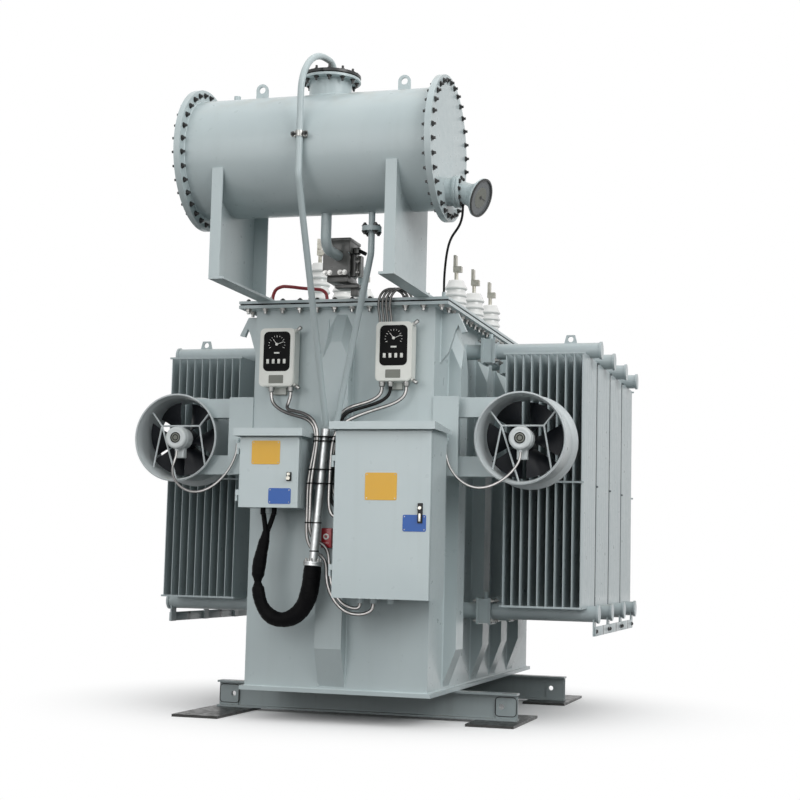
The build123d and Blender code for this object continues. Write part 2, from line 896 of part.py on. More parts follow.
def fan_rotor(side):
    """Axial rotor: hub, twisted blades and the shaft that runs in the motor."""
    x = side * fan_x
    hub_y = fan_front_y + motor_length + hub_gap
    blade_y = hub_y + hub_length / 2
    root_radius = hub_radius - blade_root_sink
    half_tip = blade_tip_chord * cos(radians(blade_tip_pitch)) / 2
    tip_radius = sqrt((duct_throat_radius - blade_tip_gap) ** 2 - half_tip ** 2)
    shaft_length = motor_bore_depth - shaft_end_gap + hub_gap
    with BuildPart() as rotor:
        with Locations(Location((x, hub_y, fan_z), (-90, 0, 0))):
            Cylinder(hub_radius, hub_length, align=upright)
        with Locations(Location((x, hub_y, fan_z), (90, 0, 0))):
            Cylinder(shaft_radius, shaft_length, align=upright)
        for i in range(blade_count):
            angle = radians(360 / blade_count * i)
            radial = Vector(cos(angle), 0, sin(angle))
            tangent = Vector(-sin(angle), 0, cos(angle))
            hub_centre = Vector(x, blade_y, fan_z)
            with BuildSketch(Plane(hub_centre + radial * root_radius, x_dir=tangent, z_dir=radial)):
                Rectangle(blade_root_chord, blade_thick, rotation=side * blade_root_pitch)
            with BuildSketch(Plane(hub_centre + radial * tip_radius, x_dir=tangent, z_dir=radial)):
                Rectangle(blade_tip_chord, blade_thick, rotation=side * blade_tip_pitch)
            loft()
    return rotor.part


def fan_bracket(side):
    """Angle on the tank corner with two channel arms that end on the fan duct."""
    high = bracket_low + bracket_height
    arm_y = fan_front_y + duct_bell + arm_depth / 2
    gland_y = front_y - bracket_plate_thick - lead_gland_reach
    gland_low = lead_gland_z
    with BuildPart() as bracket:
        with Locations((side * (side_x + bracket_plate_thick / 2), front_y, bracket_low)):
            Box(bracket_plate_thick, bracket_leg, bracket_height, align=(Align.CENTER, Align.MIN, Align.MIN))
        with Locations((side * (side_x + bracket_plate_width / 2), front_y, bracket_low)):
            Box(
                bracket_plate_width, bracket_plate_thick, bracket_height,
                align=(Align.CENTER, Align.MAX, Align.MIN),
            )
        arm_sign = Vector(side, 0, 0)
        arm_zs = (high - arm_height / 2, bracket_low + arm_height / 2)
        for z in arm_zs:
            with BuildSketch(Plane((side * side_x, arm_y, z), x_dir=(0, 1, 0), z_dir=arm_sign)):
                Rectangle(arm_depth, arm_height)
                with Locations((arm_wall, 0)):
                    Rectangle(arm_depth, arm_height - 2 * arm_wall, mode=Mode.SUBTRACT)
            extrude(amount=fan_x - side_x)
        with Locations(Location((side * fan_x, fan_front_y, fan_z), (-90, 0, 0))):
            Cylinder(
                duct_throat_radius + duct_wall + seat_gap, duct_depth,
                align=(Align.CENTER, Align.CENTER, Align.MIN), mode=Mode.SUBTRACT,
            )
        with Locations((side * lead_gland_x, gland_y, gland_low)):
            Cylinder(motor_gland_radius, lead_gland_height, align=(Align.CENTER, Align.CENTER, Align.MIN))
        with Locations((side * lead_gland_x, front_y - bracket_plate_thick, gland_low + lead_gland_height)):
            Box(
                2 * motor_gland_radius, lead_gland_reach + motor_gland_radius, lead_clip_height,
                align=(Align.CENTER, Align.MAX, Align.MAX),
            )
    return bracket.part


for name, side in (("left", -1), ("right", 1)):
    keep(fan_duct(side), f"{name}_fan_duct")
    keep(fan_motor(side), f"{name}_fan_motor")
    keep(fan_rotor(side), f"{name}_fan_rotor")
    keep(fan_bracket(side), f"{name}_fan_bracket")


def hinge_place(left, depth):
    """Hinge axis of a door in plan: beside its left edge, at the middle of its depth."""
    return left - hinge_reach, enclosure_back - depth - door_gap - door_depth / 2


def hinge_levels(bottom, height):
    """Levels of the planes where the lower and upper hinge knuckles meet."""
    return [bottom + share * height for share in hinge_shares]


def enclosure_body(left, width, depth, bottom, height, glands, side_glands):
    """Sheet-metal case under its rain hood, open at the front inside a return frame."""
    front = enclosure_back - depth
    mid_x = left + width / 2
    mid_z = bottom + height / 2
    hinge_x, hinge_y = hinge_place(left, depth)
    with BuildPart() as case:
        with Locations((mid_x, enclosure_back, mid_z)):
            Box(width, depth, height, align=(Align.CENTER, Align.MAX, Align.CENTER))
        with Locations((mid_x, enclosure_back - enclosure_wall, mid_z)):
            Box(
                width - 2 * enclosure_wall, depth - 2 * enclosure_wall, height - 2 * enclosure_wall,
                align=(Align.CENTER, Align.MAX, Align.CENTER), mode=Mode.SUBTRACT,
            )
        with Locations((mid_x, front, mid_z)):
            Box(
                width - 2 * enclosure_frame, 3 * enclosure_wall, height - 2 * enclosure_frame,
                mode=Mode.SUBTRACT,
            )
        for level in hinge_levels(bottom, height):
            low = (hinge_x, hinge_y, level - hinge_gap / 2)
            with Locations(low):
                Cylinder(hinge_radius, hinge_height, align=(Align.CENTER, Align.CENTER, Align.MAX))
            with Locations(low):
                Cylinder(
                    hinge_pin_radius, hinge_height - hinge_leaf,
                    align=(Align.CENTER, Align.CENTER, Align.MIN),
                )
            with Locations((hinge_x + hinge_radius, hinge_y, low[2])):
                Box(
                    hinge_leaf, front - hinge_y + hinge_leaf_width, hinge_height,
                    align=(Align.MAX, Align.MIN, Align.MAX),
                )
            with Locations((left, front + hinge_leaf_width, low[2])):
                Box(
                    hinge_reach - hinge_radius + hinge_leaf, hinge_leaf_width / 2, hinge_height,
                    align=(Align.MAX, Align.MAX, Align.MAX),
                )
        for x, y, radius in glands:
            with Locations((x, y, bottom)):
                Cylinder(radius, gland_length, align=(Align.CENTER, Align.CENTER, Align.MAX))
        for y, z in side_glands:
            with Locations(Location((left, front_y + y, z), (0, -90, 0))):
                Cylinder(side_gland_radius, gland_length, align=upright)
        add(enclosure_hood(left, width, depth, bottom, height))
    return case.part


def enclosure_door(left, width, depth, bottom, height):
    """Pan-shaped door with its hinge knuckles, hung on the left edge."""
    rear = enclosure_back - depth - door_gap
    door_height = height - hood_lip - door_gap
    mid_x = left + width / 2
    mid_z = bottom + door_height / 2
    hinge_x, hinge_y = hinge_place(left, depth)
    with BuildPart() as door:
        with Locations((mid_x, rear, mid_z)):
            Box(width, door_depth, door_height, align=(Align.CENTER, Align.MAX, Align.CENTER))
        front_edges = door.edges().filter_by(Axis.Z).group_by(Axis.Y)[0]
        fillet(front_edges, door_skin)
        with Locations((mid_x, rear, mid_z)):
            Box(
                width - 2 * door_skin, door_depth - door_skin, door_height - 2 * door_skin,
                align=(Align.CENTER, Align.MAX, Align.CENTER), mode=Mode.SUBTRACT,
            )
        for level in hinge_levels(bottom, height):
            foot = (hinge_x, hinge_y, level + hinge_gap / 2)
            with Locations(foot):
                Cylinder(hinge_radius, hinge_height, align=(Align.CENTER, Align.CENTER, Align.MIN))
            with Locations((hinge_x, hinge_y - hinge_radius, foot[2])):
                Box(hinge_reach, hinge_leaf, hinge_height, align=(Align.MIN, Align.MIN, Align.MIN))
            with Locations(foot):
                Cylinder(
                    hinge_pin_radius + hinge_pin_clearance, hinge_height,
                    align=(Align.CENTER, Align.CENTER, Align.MIN), mode=Mode.SUBTRACT,
                )
    return door.part


def enclosure_hood(left, width, depth, bottom, height):
    """Rain hood of a case, falling towards the tank, with a turned-down lip past the door."""
    top = bottom + height
    front = enclosure_back - depth - door_gap - door_depth - hood_nose
    full_width = width + 2 * hood_side
    with BuildPart() as hood:
        with BuildSketch(Plane((left - hood_side, 0, 0), x_dir=(0, 1, 0), z_dir=(1, 0, 0))):
            Polygon(
                (enclosure_back, top), (enclosure_back, top + hood_rear),
                (front, top + hood_front), (front, top), align=None,
            )
        extrude(amount=full_width)
        with Locations((left + width / 2, front, top)):
            Box(full_width, hood_lip_thick, hood_lip, align=(Align.CENTER, Align.MIN, Align.MAX))
        for x, hold in ((left - hood_side, Align.MIN), (left + width + hood_side, Align.MAX)):
            with Locations((x, front, top)):
                Box(hood_lip_thick, enclosure_back - front, hood_lip, align=(hold, Align.MIN, Align.MAX))
    return hood.part


def enclosure_lock(left, width, depth, bottom, height, lock_high, share):
    """Lock plate on the free side of a door."""
    face = enclosure_back - depth - door_gap - door_depth
    with BuildPart() as lock:
        with Locations((left + width - lock_inset, face, bottom + share * height)):
            Box(lock_width, lock_thick, lock_high, align=(Align.CENTER, Align.MAX, Align.CENTER))
        outer = lock.faces().sort_by(Axis.Y)[0]
        fillet(outer.edges(), lock_thick / 3)
    return lock.part


cabinet = (cabinet_left, cabinet_width, cabinet_depth, cabinet_bottom, cabinet_height)
terminal = (box_left, box_width, box_depth, box_bottom, box_height)
trunk_route = off_front(trunk_run)
trunk_end_x, trunk_end_y = trunk_route[-1][:2]
trunk_gland = (trunk_end_x, trunk_end_y, trunk_radius + gland_wall)
cabinet_glands = [
    (cabinet_left + share * cabinet_width, enclosure_back - cabinet_depth / 2, gland_radius)
    for share in cabinet_gland_shares
]
keep(enclosure_body(*cabinet, cabinet_glands, cabinet_side_glands), "control_cabinet")
keep(enclosure_door(*cabinet), "control_cabinet_door")
keep(enclosure_lock(*cabinet, lock_height, lock_share), "control_cabinet_lock")
keep(enclosure_body(*terminal, [trunk_gland], ()), "terminal_box")
keep(enclosure_door(*terminal), "terminal_box_door")
keep(enclosure_lock(*terminal, box_lock_height, box_lock_share), "terminal_box_lock")

# Channel rails that carry the two enclosures on the front wall
cabinet_rail = (cabinet_left, min(cabinet_left + cabinet_width, side_x), cabinet_bottom, cabinet_height)
box_rail = (box_left, box_left + box_width, box_bottom, box_height)
with BuildPart() as enclosure_rails:
    for low_x, high_x, bottom, height in (cabinet_rail, box_rail):
        for z in (bottom + rail_inset, bottom + height - rail_inset):
            with BuildSketch(Plane((low_x, front_y - rail_depth / 2, z), x_dir=(0, 1, 0), z_dir=(1, 0, 0))):
                Rectangle(rail_depth, rail_height)
                with Locations((0, -rail_thick)):
                    Rectangle(rail_depth - 2 * rail_thick, rail_height, mode=Mode.SUBTRACT)
            extrude(amount=high_x - low_x)
keep(enclosure_rails.part, "enclosure_rails")


def temperature_controller(x, z, gland_shares):
    """Instrument case with a sunk window, feet above and below, and cable glands."""
    rear = front_y - controller_back
    face = rear - controller_depth
    window_z = z + controller_window_share * controller_height
    with BuildPart() as case:
        with Locations((x, rear, z)):
            Box(
                controller_width, controller_depth, controller_height,
                align=(Align.CENTER, Align.MAX, Align.CENTER),
            )
        fillet(case.edges().filter_by(Axis.Y), controller_corner)
        with BuildSketch(Plane((x, face, window_z), x_dir=(1, 0, 0), z_dir=(0, -1, 0))):
            RectangleRounded(controller_window_width, controller_window_height, controller_window_corner)
        extrude(amount=-controller_window_sink, mode=Mode.SUBTRACT)
        foot_height = controller_height + 2 * controller_foot_reach
        with Locations((x, front_y, z)):
            Box(
                controller_foot_width, controller_back, foot_height,
                align=(Align.CENTER, Align.MAX, Align.CENTER),
            )
        gland_y = rear - controller_depth / 2
        gland_z = z - controller_height / 2
        for share in gland_shares:
            with Locations((x + share * controller_width, gland_y, gland_z)):
                Cylinder(gland_radius, gland_length, align=(Align.CENTER, Align.CENTER, Align.MAX))
    return case.part


with BuildPart() as temperature_controllers:
    add(temperature_controller(controller_left_x, controller_left_z, controller_left_shares))
    add(temperature_controller(controller_right_x, controller_right_z, controller_right_shares))
keep(temperature_controllers.part, "temperature_controllers")

# Conservator: shell with bolted flanges, neck, lifting eyes and filling plug
def across_plane(x):
    """Plane across the conservator axis at the given X, facing +X."""
    return Plane((x, conservator_y, conservator_z), x_dir=(0, 1, 0), z_dir=(1, 0, 0))


with BuildPart() as conservator_shell:
    with BuildSketch(across_plane(-conservator_half)):
        Circle(conservator_radius)
    extrude(amount=conservator_length)
    flange_x = conservator_half - conservator_flange_thick
    with BuildSketch(across_plane(-conservator_half), across_plane(flange_x)):
        Circle(conservator_flange_radius)
    extrude(amount=conservator_flange_thick)
    with Locations((neck_x, conservator_y, conservator_z)):
        Cylinder(neck_radius, neck_top - conservator_z, align=upright)
    with Locations((neck_x, conservator_y, neck_top)):
        Cylinder(neck_flange_radius, neck_flange_thick, align=upright)
    crown = conservator_z + conservator_radius
    for x in (eye_left_x, eye_right_x):
        with BuildSketch(Plane((x, conservator_y, crown - eye_thick), x_dir=(1, 0, 0), z_dir=(0, -1, 0))):
            with Locations((0, eye_height / 2)):
                Rectangle(eye_width, eye_height)
            with Locations((0, eye_height)):
                Circle(eye_width / 2)
                Circle(eye_hole_radius, mode=Mode.SUBTRACT)
        extrude(amount=eye_thick / 2, both=True)
    with Locations((plug_x, conservator_y, crown - conservator_wall)):
        Cylinder(plug_radius, plug_height + conservator_wall, align=upright)
    with BuildSketch(across_plane(-conservator_half)):
        Circle(conservator_radius - conservator_wall)
    extrude(amount=conservator_length, mode=Mode.SUBTRACT)
keep(conservator_shell.part, "conservator_shell")

for name, x in (("left", -conservator_end_x), ("right", conservator_half)):
    with BuildPart() as conservator_end:
        with BuildSketch(across_plane(x)):
            Circle(conservator_flange_radius)
        extrude(amount=conservator_end_thick)
    keep(conservator_end.part, f"conservator_{name}_end")

with BuildPart() as neck_gasket:
    with BuildSketch(Plane((neck_x, conservator_y, neck_top + neck_flange_thick))):
        Circle(neck_flange_radius - neck_gasket_inset)
    extrude(amount=neck_gasket_thick)
keep(neck_gasket.part, "neck_gasket")

with BuildPart() as neck_cover:
    with BuildSketch(Plane((neck_x, conservator_y, neck_cover_bottom))):
        Circle(neck_flange_radius)
    extrude(amount=neck_cover_thick)
keep(neck_cover.part, "neck_cover")


def saddle(side):
    """Bracket under the conservator: foot, concave web, front and rear post flanges."""
    foot_top = cover_top + saddle_foot_thick
    front = conservator_y - saddle_post_reach
    rear = conservator_y + saddle_post_reach
    outer_x = side * saddle_half_span
    hold = Align.MAX if side > 0 else Align.MIN
    with BuildPart() as bracket:
        with Locations((outer_x, front, foot_top)):
            Box(saddle_web, rear - front, saddle_post_height, align=(hold, Align.MIN, Align.MIN))
        with Locations((outer_x, front, foot_top)):
            Box(
                saddle_front_flange, saddle_flange_thick, saddle_post_height,
                align=(hold, Align.MIN, Align.MIN),
            )
        with Locations((outer_x, rear, foot_top)):
            Box(
                saddle_rear_flange, saddle_flange_thick, saddle_post_height,
                align=(hold, Align.MAX, Align.MIN),
            )
        with Locations((outer_x, front, cover_top)):
            Box(
                saddle_foot_width, rear - front + saddle_foot_tail, saddle_foot_thick,
                align=(hold, Align.MIN, Align.MIN),
            )
        with Locations(Location((0, conservator_y, conservator_z), (0, 90, 0))):
            Cylinder(conservator_radius + seat_gap, conservator_length, mode=Mode.SUBTRACT)
    return bracket.part


keep(saddle(-1), "left_saddle")
keep(saddle(1), "right_saddle")

# Oil level gauge on the right end of the conservator
gauge_z = conservator_z - gauge_drop
along_x = (0, 90, 0)
gauge_flange_x = conservator_end_x + gauge_boss_length
gauge_tube_x = gauge_flange_x + gauge_flange_thick
gauge_joint = Vector(gauge_tube_x + gauge_tube_length, conservator_y, gauge_z)
gauge_axis = Vector(
    cos(radians(gauge_tilt)) * cos(radians(gauge_swing)),
    -cos(radians(gauge_tilt)) * sin(radians(gauge_swing)),
    -sin(radians(gauge_tilt)),
)
gauge_head = gauge_joint + gauge_axis * gauge_elbow
gauge_route = ((gauge_tube_x, conservator_y, gauge_z), gauge_joint, gauge_head)
gauge_face = gauge_head_length + gauge_rim_length
gauge_radial = gauge_axis.cross(Vector(0, 0, 1)).normalized()
with BuildPart() as oil_level_gauge:
    with Locations(Location((conservator_end_x, conservator_y, gauge_z), along_x)):
        Cylinder(gauge_boss_radius, gauge_boss_length, align=upright)
    with Locations(Location((gauge_flange_x, conservator_y, gauge_z), along_x)):
        Cylinder(gauge_flange_radius, gauge_flange_thick, align=upright)
    add(tube(gauge_route, gauge_tube_radius, [gauge_bend]))
    with BuildSketch(Plane(gauge_head, x_dir=gauge_radial, z_dir=gauge_radial.cross(gauge_axis))):
        Polygon(
            (0, 0), (gauge_tube_radius, 0), (gauge_head_radius, gauge_head_length),
            (gauge_head_radius, gauge_face), (gauge_head_radius - gauge_rim_wall, gauge_face),
            (gauge_head_radius - gauge_rim_wall, gauge_face - gauge_glass_sink),
            (0, gauge_face - gauge_glass_sink), align=None,
        )
    revolve(axis=Axis(gauge_head, gauge_axis))
    with Locations(Location((gauge_tube_x + gauge_gland_reach, conservator_y, gauge_z), (180, 0, 0))):
        Cylinder(motor_gland_radius, gauge_tube_radius + gauge_gland_length, align=upright)
keep(oil_level_gauge.part, "oil_level_gauge")

# Breather pipe from the neck cover over the front and down to the cable riser
breather_top = neck_cover_top + breather_rise
breather_y = conservator_y - breather_front
breather_route = (
    (breather_x, conservator_y, neck_cover_top),
    (breather_x, conservator_y, breather_top),
    (breather_lane_x, breather_y, breather_top),
    (breather_lane_x, breather_y, breather_kink_z),
    (breather_end_x, pipe_end_y, pipe_end_z),
)
keep(tube(breather_route, pipe_radius, [breather_bend, breather_lane_bend, pipe_bend]), "breather_pipe")

# Filler pipe from the conservator down to the front stiffener, with its flange pair
pipe_start_z = conservator_low - seat_gap
filler_route = (
    (filler_x, conservator_y, pipe_start_z),
    (filler_x, conservator_y, filler_turn_z),
    (filler_end_x, pipe_end_y, pipe_end_z),
)
with BuildPart() as filler_pipe:
    add(tube(filler_route, pipe_radius, [pipe_bend]))
    with Locations((filler_x, conservator_y, filler_flange_z)):
        Cylinder(filler_flange_radius, 2 * filler_flange_thick)
keep(filler_pipe.part, "filler_pipe")

# Gas relay and the pipe that carries it between the conservator and the cover
relay_front = relay_y - relay_length / 2
relay_rear = relay_y + relay_length / 2
front_leg = (
    (relay_x, conservator_y, pipe_start_z),
    (relay_x, conservator_y, relay_z),
    (relay_x, relay_front, relay_z),
)
rear_leg = (
    (relay_x, relay_rear, relay_z),
    (relay_x, relay_drop_y, relay_z),
    (relay_x, relay_drop_y, cover_top),
)
with BuildPart() as relay_pipes:
    add(tube(front_leg, relay_pipe_radius, [relay_pipe_bend]))
    add(tube(rear_leg, relay_pipe_radius, [relay_pipe_bend]))
    with Locations(Location((relay_x, relay_front, relay_z), (90, 0, 0))):
        Cylinder(relay_flange_radius, relay_flange_thick, align=upright)
    with Locations(Location((relay_x, relay_rear, relay_z), (-90, 0, 0))):
        Cylinder(relay_flange_radius, relay_flange_thick, align=upright)
    with Locations((relay_x, relay_drop_y, cover_top)):
        Cylinder(relay_foot_radius, relay_foot_thick, align=upright)
keep(relay_pipes.part, "relay_pipes")

with BuildPart() as gas_relay:
    with Locations((relay_x, relay_y, relay_z)):
        Box(relay_width, relay_length - 2 * relay_flange_thick, relay_height)
    fillet(gas_relay.edges().filter_by(Axis.Y), relay_corner)
    for y, turn in ((relay_front, -90), (relay_rear, 90)):
        with Locations(Location((relay_x, y, relay_z), (turn, 0, 0))):
            Cylinder(relay_flange_radius, relay_flange_thick, align=upright)
    with Locations((relay_x, relay_y, relay_z + relay_height / 2)):
        Box(relay_box_width, relay_box_length, relay_box_height, align=upright)
keep(gas_relay.part, "gas_relay")

# Cable riser in front of the front stiffener, with a flange at its foot
riser_top = Vector(breather_end_x, pipe_end_y, pipe_end_z - seat_gap)
riser_foot = Vector(riser_lean_x, riser_lean_y, riser_bottom_z)
riser_run = (riser_foot - riser_top).normalized()
with BuildPart() as cable_riser:
    rod(riser_top + riser_run * riser_radius, riser_foot, riser_radius)
    rod(riser_foot, riser_foot + riser_run * riser_flange_thick, riser_flange_radius)
keep(cable_riser.part, "cable_riser")

# Front stiffener with a bar and a hollowed block that hold the back of the riser
stiffener_face_y = front_y - end_stiffener_depth
clamp_share = (riser_top.Z - clamp_z) / (riser_top.Z - riser_foot.Z)
clamp_centre = riser_top + (riser_foot - riser_top) * clamp_share
front_foot = (-end_stiffener_offset, front_y, floor_top)
with BuildPart() as front_stiffener:
    add(stiffener(front_foot, (0, -1, 0), end_stiffener_width, end_stiffener_depth))
    with Locations(((clamp_left + clamp_right) / 2, stiffener_face_y, clamp_z)):
        Box(
            clamp_right - clamp_left, clamp_bar_depth, clamp_bar_height,
            align=(Align.CENTER, Align.MAX, Align.CENTER),
        )
    with Locations((clamp_centre.X, stiffener_face_y, clamp_z)):
        Box(
            clamp_block_width, stiffener_face_y - clamp_centre.Y, clamp_bar_height,
            align=(Align.CENTER, Align.MAX, Align.CENTER),
        )
    rod(riser_top, riser_foot, riser_radius + seat_gap, mode=Mode.SUBTRACT)
keep(front_stiffener.part, "front_stiffener")

with BuildPart() as alarm_box:
    with Locations((alarm_x, stiffener_face_y, alarm_z)):
        Box(alarm_width, alarm_depth, alarm_height, align=(Align.CENTER, Align.MAX, Align.CENTER))
    fillet(alarm_box.faces().sort_by(Axis.Y)[0].edges(), alarm_corner)
keep(alarm_box.part, "alarm_box")


# Porcelain bushings with sheds in a row on each side of the cover, and their terminals
bushing_rows = (
    (bushing_x, lv_porcelain_height, lv_shed_count), (-bushing_x, hv_porcelain_height, hv_shed_count),
)
porcelain_bottom = cover_top + bushing_base_height
with BuildPart() as bushings:
    for x, height, sheds in bushing_rows:
        step = height / (sheds + 1)
        slope = (bushing_core_radius - bushing_top_radius) / height
        with Locations(*[(x, y, cover_top) for y in bushing_ys]):
            Cylinder(bushing_base_radius, bushing_base_height, align=upright)
        with Locations(*[(x, y, porcelain_bottom) for y in bushing_ys]):
            Cone(bushing_core_radius, bushing_top_radius, height, align=upright)
        for i in range(1, sheds + 1):
            neck = bushing_core_radius - slope * step * i
            shed_z = porcelain_bottom + step * i - bushing_shed_thick / 2
            with Locations(*[(x, y, shed_z) for y in bushing_ys]):
                Cone(bushing_shed_radius, neck, bushing_shed_thick, align=upright)
keep(bushings.part, "bushings")

with BuildPart() as bushing_terminals:
    for x, height, _ in bushing_rows:
        stud_z = porcelain_bottom + height
        block_z = stud_z + stud_height
        blade_z = block_z + clamp_height
        with Locations(*[(x, y, stud_z) for y in bushing_ys]):
            Cylinder(stud_radius, stud_height, align=upright)
        with Locations(*[(x + clamp_offset, y, block_z) for y in bushing_ys]):
            Box(clamp_width, clamp_depth, clamp_height, align=upright)
        with Locations(*[(x - blade_terminal_offset, y, blade_z) for y in bushing_ys]):
            Box(blade_terminal_thick, blade_terminal_width, blade_terminal_height, align=upright)
keep(bushing_terminals.part, "bushing_terminals")

# Free cables
cable("trunk_cable", trunk_route, trunk_radius)
cable("left_fan_lead", off_corner(left_lead_run, -1), fan_lead_radius)
cable("right_fan_lead", off_corner(right_lead_run, 1), fan_lead_radius)
cover_gland_top = (cover_gland_x, cover_gland_y, cover_top + gland_length + seat_gap)
gauge_gland_tip = (
    gauge_tube_x + gauge_gland_reach, conservator_y,
    gauge_z - gauge_tube_radius - gauge_gland_length - seat_gap,
)
cable("gauge_lead", between(cover_gland_top, gauge_gland_tip, gauge_lead_shares), gauge_lead_radius)

# Conduits from the two controllers along the riser to the cabinet
with BuildPart() as controller_conduits:
    for run in conduit_runs:
        route = off_front(run)
        add(tube(route, conduit_radius, bend_radii(route)))
keep(controller_conduits.part, "controller_conduits")

# Capillaries from the right controller over the edge of the cover
with BuildPart() as capillary_tubes:
    for i in range(capillary_count):
        first_x = controller_right_x + capillary_pitch * i
        route = off_front([(first_x + x, y, cover_top + z) for x, y, z in capillary_run])
        add(tube(route, capillary_radius, bend_radii(route)))
keep(capillary_tubes.part, "capillary_tubes")

cover_tube_route = off_front([(x, y, cover_top + z) for x, y, z in cover_tube_run])
keep(tube(cover_tube_route, cover_tube_radius, bend_radii(cover_tube_route)), "cover_tube")
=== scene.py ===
"""Finished look of an oil-immersed power transformer, built round its CAD frame."""
import sys
import json
import math
import random

import bmesh
import bpy
from mathutils import Matrix, Vector
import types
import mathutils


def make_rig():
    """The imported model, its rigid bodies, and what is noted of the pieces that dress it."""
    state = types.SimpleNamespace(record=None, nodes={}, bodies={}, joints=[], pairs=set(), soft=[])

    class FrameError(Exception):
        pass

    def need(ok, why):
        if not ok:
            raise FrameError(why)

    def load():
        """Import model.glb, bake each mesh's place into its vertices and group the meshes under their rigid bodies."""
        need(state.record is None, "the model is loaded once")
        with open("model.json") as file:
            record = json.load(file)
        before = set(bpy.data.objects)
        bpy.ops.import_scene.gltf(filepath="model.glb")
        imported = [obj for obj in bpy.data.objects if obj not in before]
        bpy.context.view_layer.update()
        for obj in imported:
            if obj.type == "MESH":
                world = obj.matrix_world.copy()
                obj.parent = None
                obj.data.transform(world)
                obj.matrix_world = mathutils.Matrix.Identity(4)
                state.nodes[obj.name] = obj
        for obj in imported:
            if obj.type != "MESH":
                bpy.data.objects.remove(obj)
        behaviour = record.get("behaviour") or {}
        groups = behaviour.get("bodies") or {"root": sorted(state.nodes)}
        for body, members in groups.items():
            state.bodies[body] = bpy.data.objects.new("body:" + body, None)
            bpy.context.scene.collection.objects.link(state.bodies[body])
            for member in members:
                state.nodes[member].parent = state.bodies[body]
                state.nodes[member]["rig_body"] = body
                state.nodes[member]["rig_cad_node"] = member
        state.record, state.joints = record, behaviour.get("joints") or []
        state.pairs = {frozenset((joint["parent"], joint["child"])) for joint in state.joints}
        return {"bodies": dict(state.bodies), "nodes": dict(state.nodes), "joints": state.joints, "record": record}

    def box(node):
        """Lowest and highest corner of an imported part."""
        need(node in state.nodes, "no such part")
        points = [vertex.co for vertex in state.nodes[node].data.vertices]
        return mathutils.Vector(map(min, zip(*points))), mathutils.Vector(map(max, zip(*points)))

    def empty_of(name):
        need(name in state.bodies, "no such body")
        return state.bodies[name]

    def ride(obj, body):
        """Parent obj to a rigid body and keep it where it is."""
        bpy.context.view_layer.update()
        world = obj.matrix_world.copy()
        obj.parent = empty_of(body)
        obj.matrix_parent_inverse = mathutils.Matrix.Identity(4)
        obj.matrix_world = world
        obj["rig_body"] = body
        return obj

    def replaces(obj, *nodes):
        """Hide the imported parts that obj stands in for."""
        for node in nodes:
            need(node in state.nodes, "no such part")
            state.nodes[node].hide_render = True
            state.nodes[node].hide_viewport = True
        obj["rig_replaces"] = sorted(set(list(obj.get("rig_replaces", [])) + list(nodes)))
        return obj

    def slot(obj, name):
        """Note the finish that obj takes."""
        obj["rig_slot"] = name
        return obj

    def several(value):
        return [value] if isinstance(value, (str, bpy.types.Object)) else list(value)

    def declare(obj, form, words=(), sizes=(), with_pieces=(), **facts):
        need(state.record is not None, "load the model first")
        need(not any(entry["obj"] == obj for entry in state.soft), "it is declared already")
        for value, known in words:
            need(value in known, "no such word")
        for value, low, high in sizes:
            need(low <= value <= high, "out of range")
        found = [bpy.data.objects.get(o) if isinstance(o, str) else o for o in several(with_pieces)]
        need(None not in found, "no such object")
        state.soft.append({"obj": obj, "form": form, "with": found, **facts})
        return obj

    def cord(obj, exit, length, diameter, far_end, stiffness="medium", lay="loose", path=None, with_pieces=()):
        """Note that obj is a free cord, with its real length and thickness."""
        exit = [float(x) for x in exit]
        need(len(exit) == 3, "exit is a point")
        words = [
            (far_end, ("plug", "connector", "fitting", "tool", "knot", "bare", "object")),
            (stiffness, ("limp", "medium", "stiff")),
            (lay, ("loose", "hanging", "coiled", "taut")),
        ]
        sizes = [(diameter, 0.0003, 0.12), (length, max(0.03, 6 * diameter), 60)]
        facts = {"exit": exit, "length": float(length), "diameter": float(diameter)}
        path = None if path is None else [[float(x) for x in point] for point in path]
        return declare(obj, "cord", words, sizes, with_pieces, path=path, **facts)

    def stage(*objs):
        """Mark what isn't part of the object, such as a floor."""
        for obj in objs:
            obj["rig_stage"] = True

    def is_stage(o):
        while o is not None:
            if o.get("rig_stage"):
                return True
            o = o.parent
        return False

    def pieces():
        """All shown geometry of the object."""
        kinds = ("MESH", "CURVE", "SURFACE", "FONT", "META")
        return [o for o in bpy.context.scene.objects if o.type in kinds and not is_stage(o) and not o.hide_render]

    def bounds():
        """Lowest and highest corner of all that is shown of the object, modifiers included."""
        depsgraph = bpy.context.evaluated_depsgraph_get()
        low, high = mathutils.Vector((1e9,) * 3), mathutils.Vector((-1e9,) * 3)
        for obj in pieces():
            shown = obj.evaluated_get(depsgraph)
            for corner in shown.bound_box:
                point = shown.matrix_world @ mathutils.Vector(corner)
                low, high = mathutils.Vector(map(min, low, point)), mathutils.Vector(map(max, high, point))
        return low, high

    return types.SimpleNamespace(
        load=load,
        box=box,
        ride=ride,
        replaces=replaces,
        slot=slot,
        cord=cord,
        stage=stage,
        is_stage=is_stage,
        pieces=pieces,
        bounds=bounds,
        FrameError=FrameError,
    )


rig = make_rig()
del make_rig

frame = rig.load()
CAD_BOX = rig.bounds()

bl_info = {
    "name": "Power Transformer Look",
    "version": (1, 0, 0),
    "blender": (4, 5, 0),
    "location": "View3D > Sidebar > Transformer",
    "description": "Finishes, fasteners, welds, cables and instruments of a power transformer",
    "category": "Object",
}

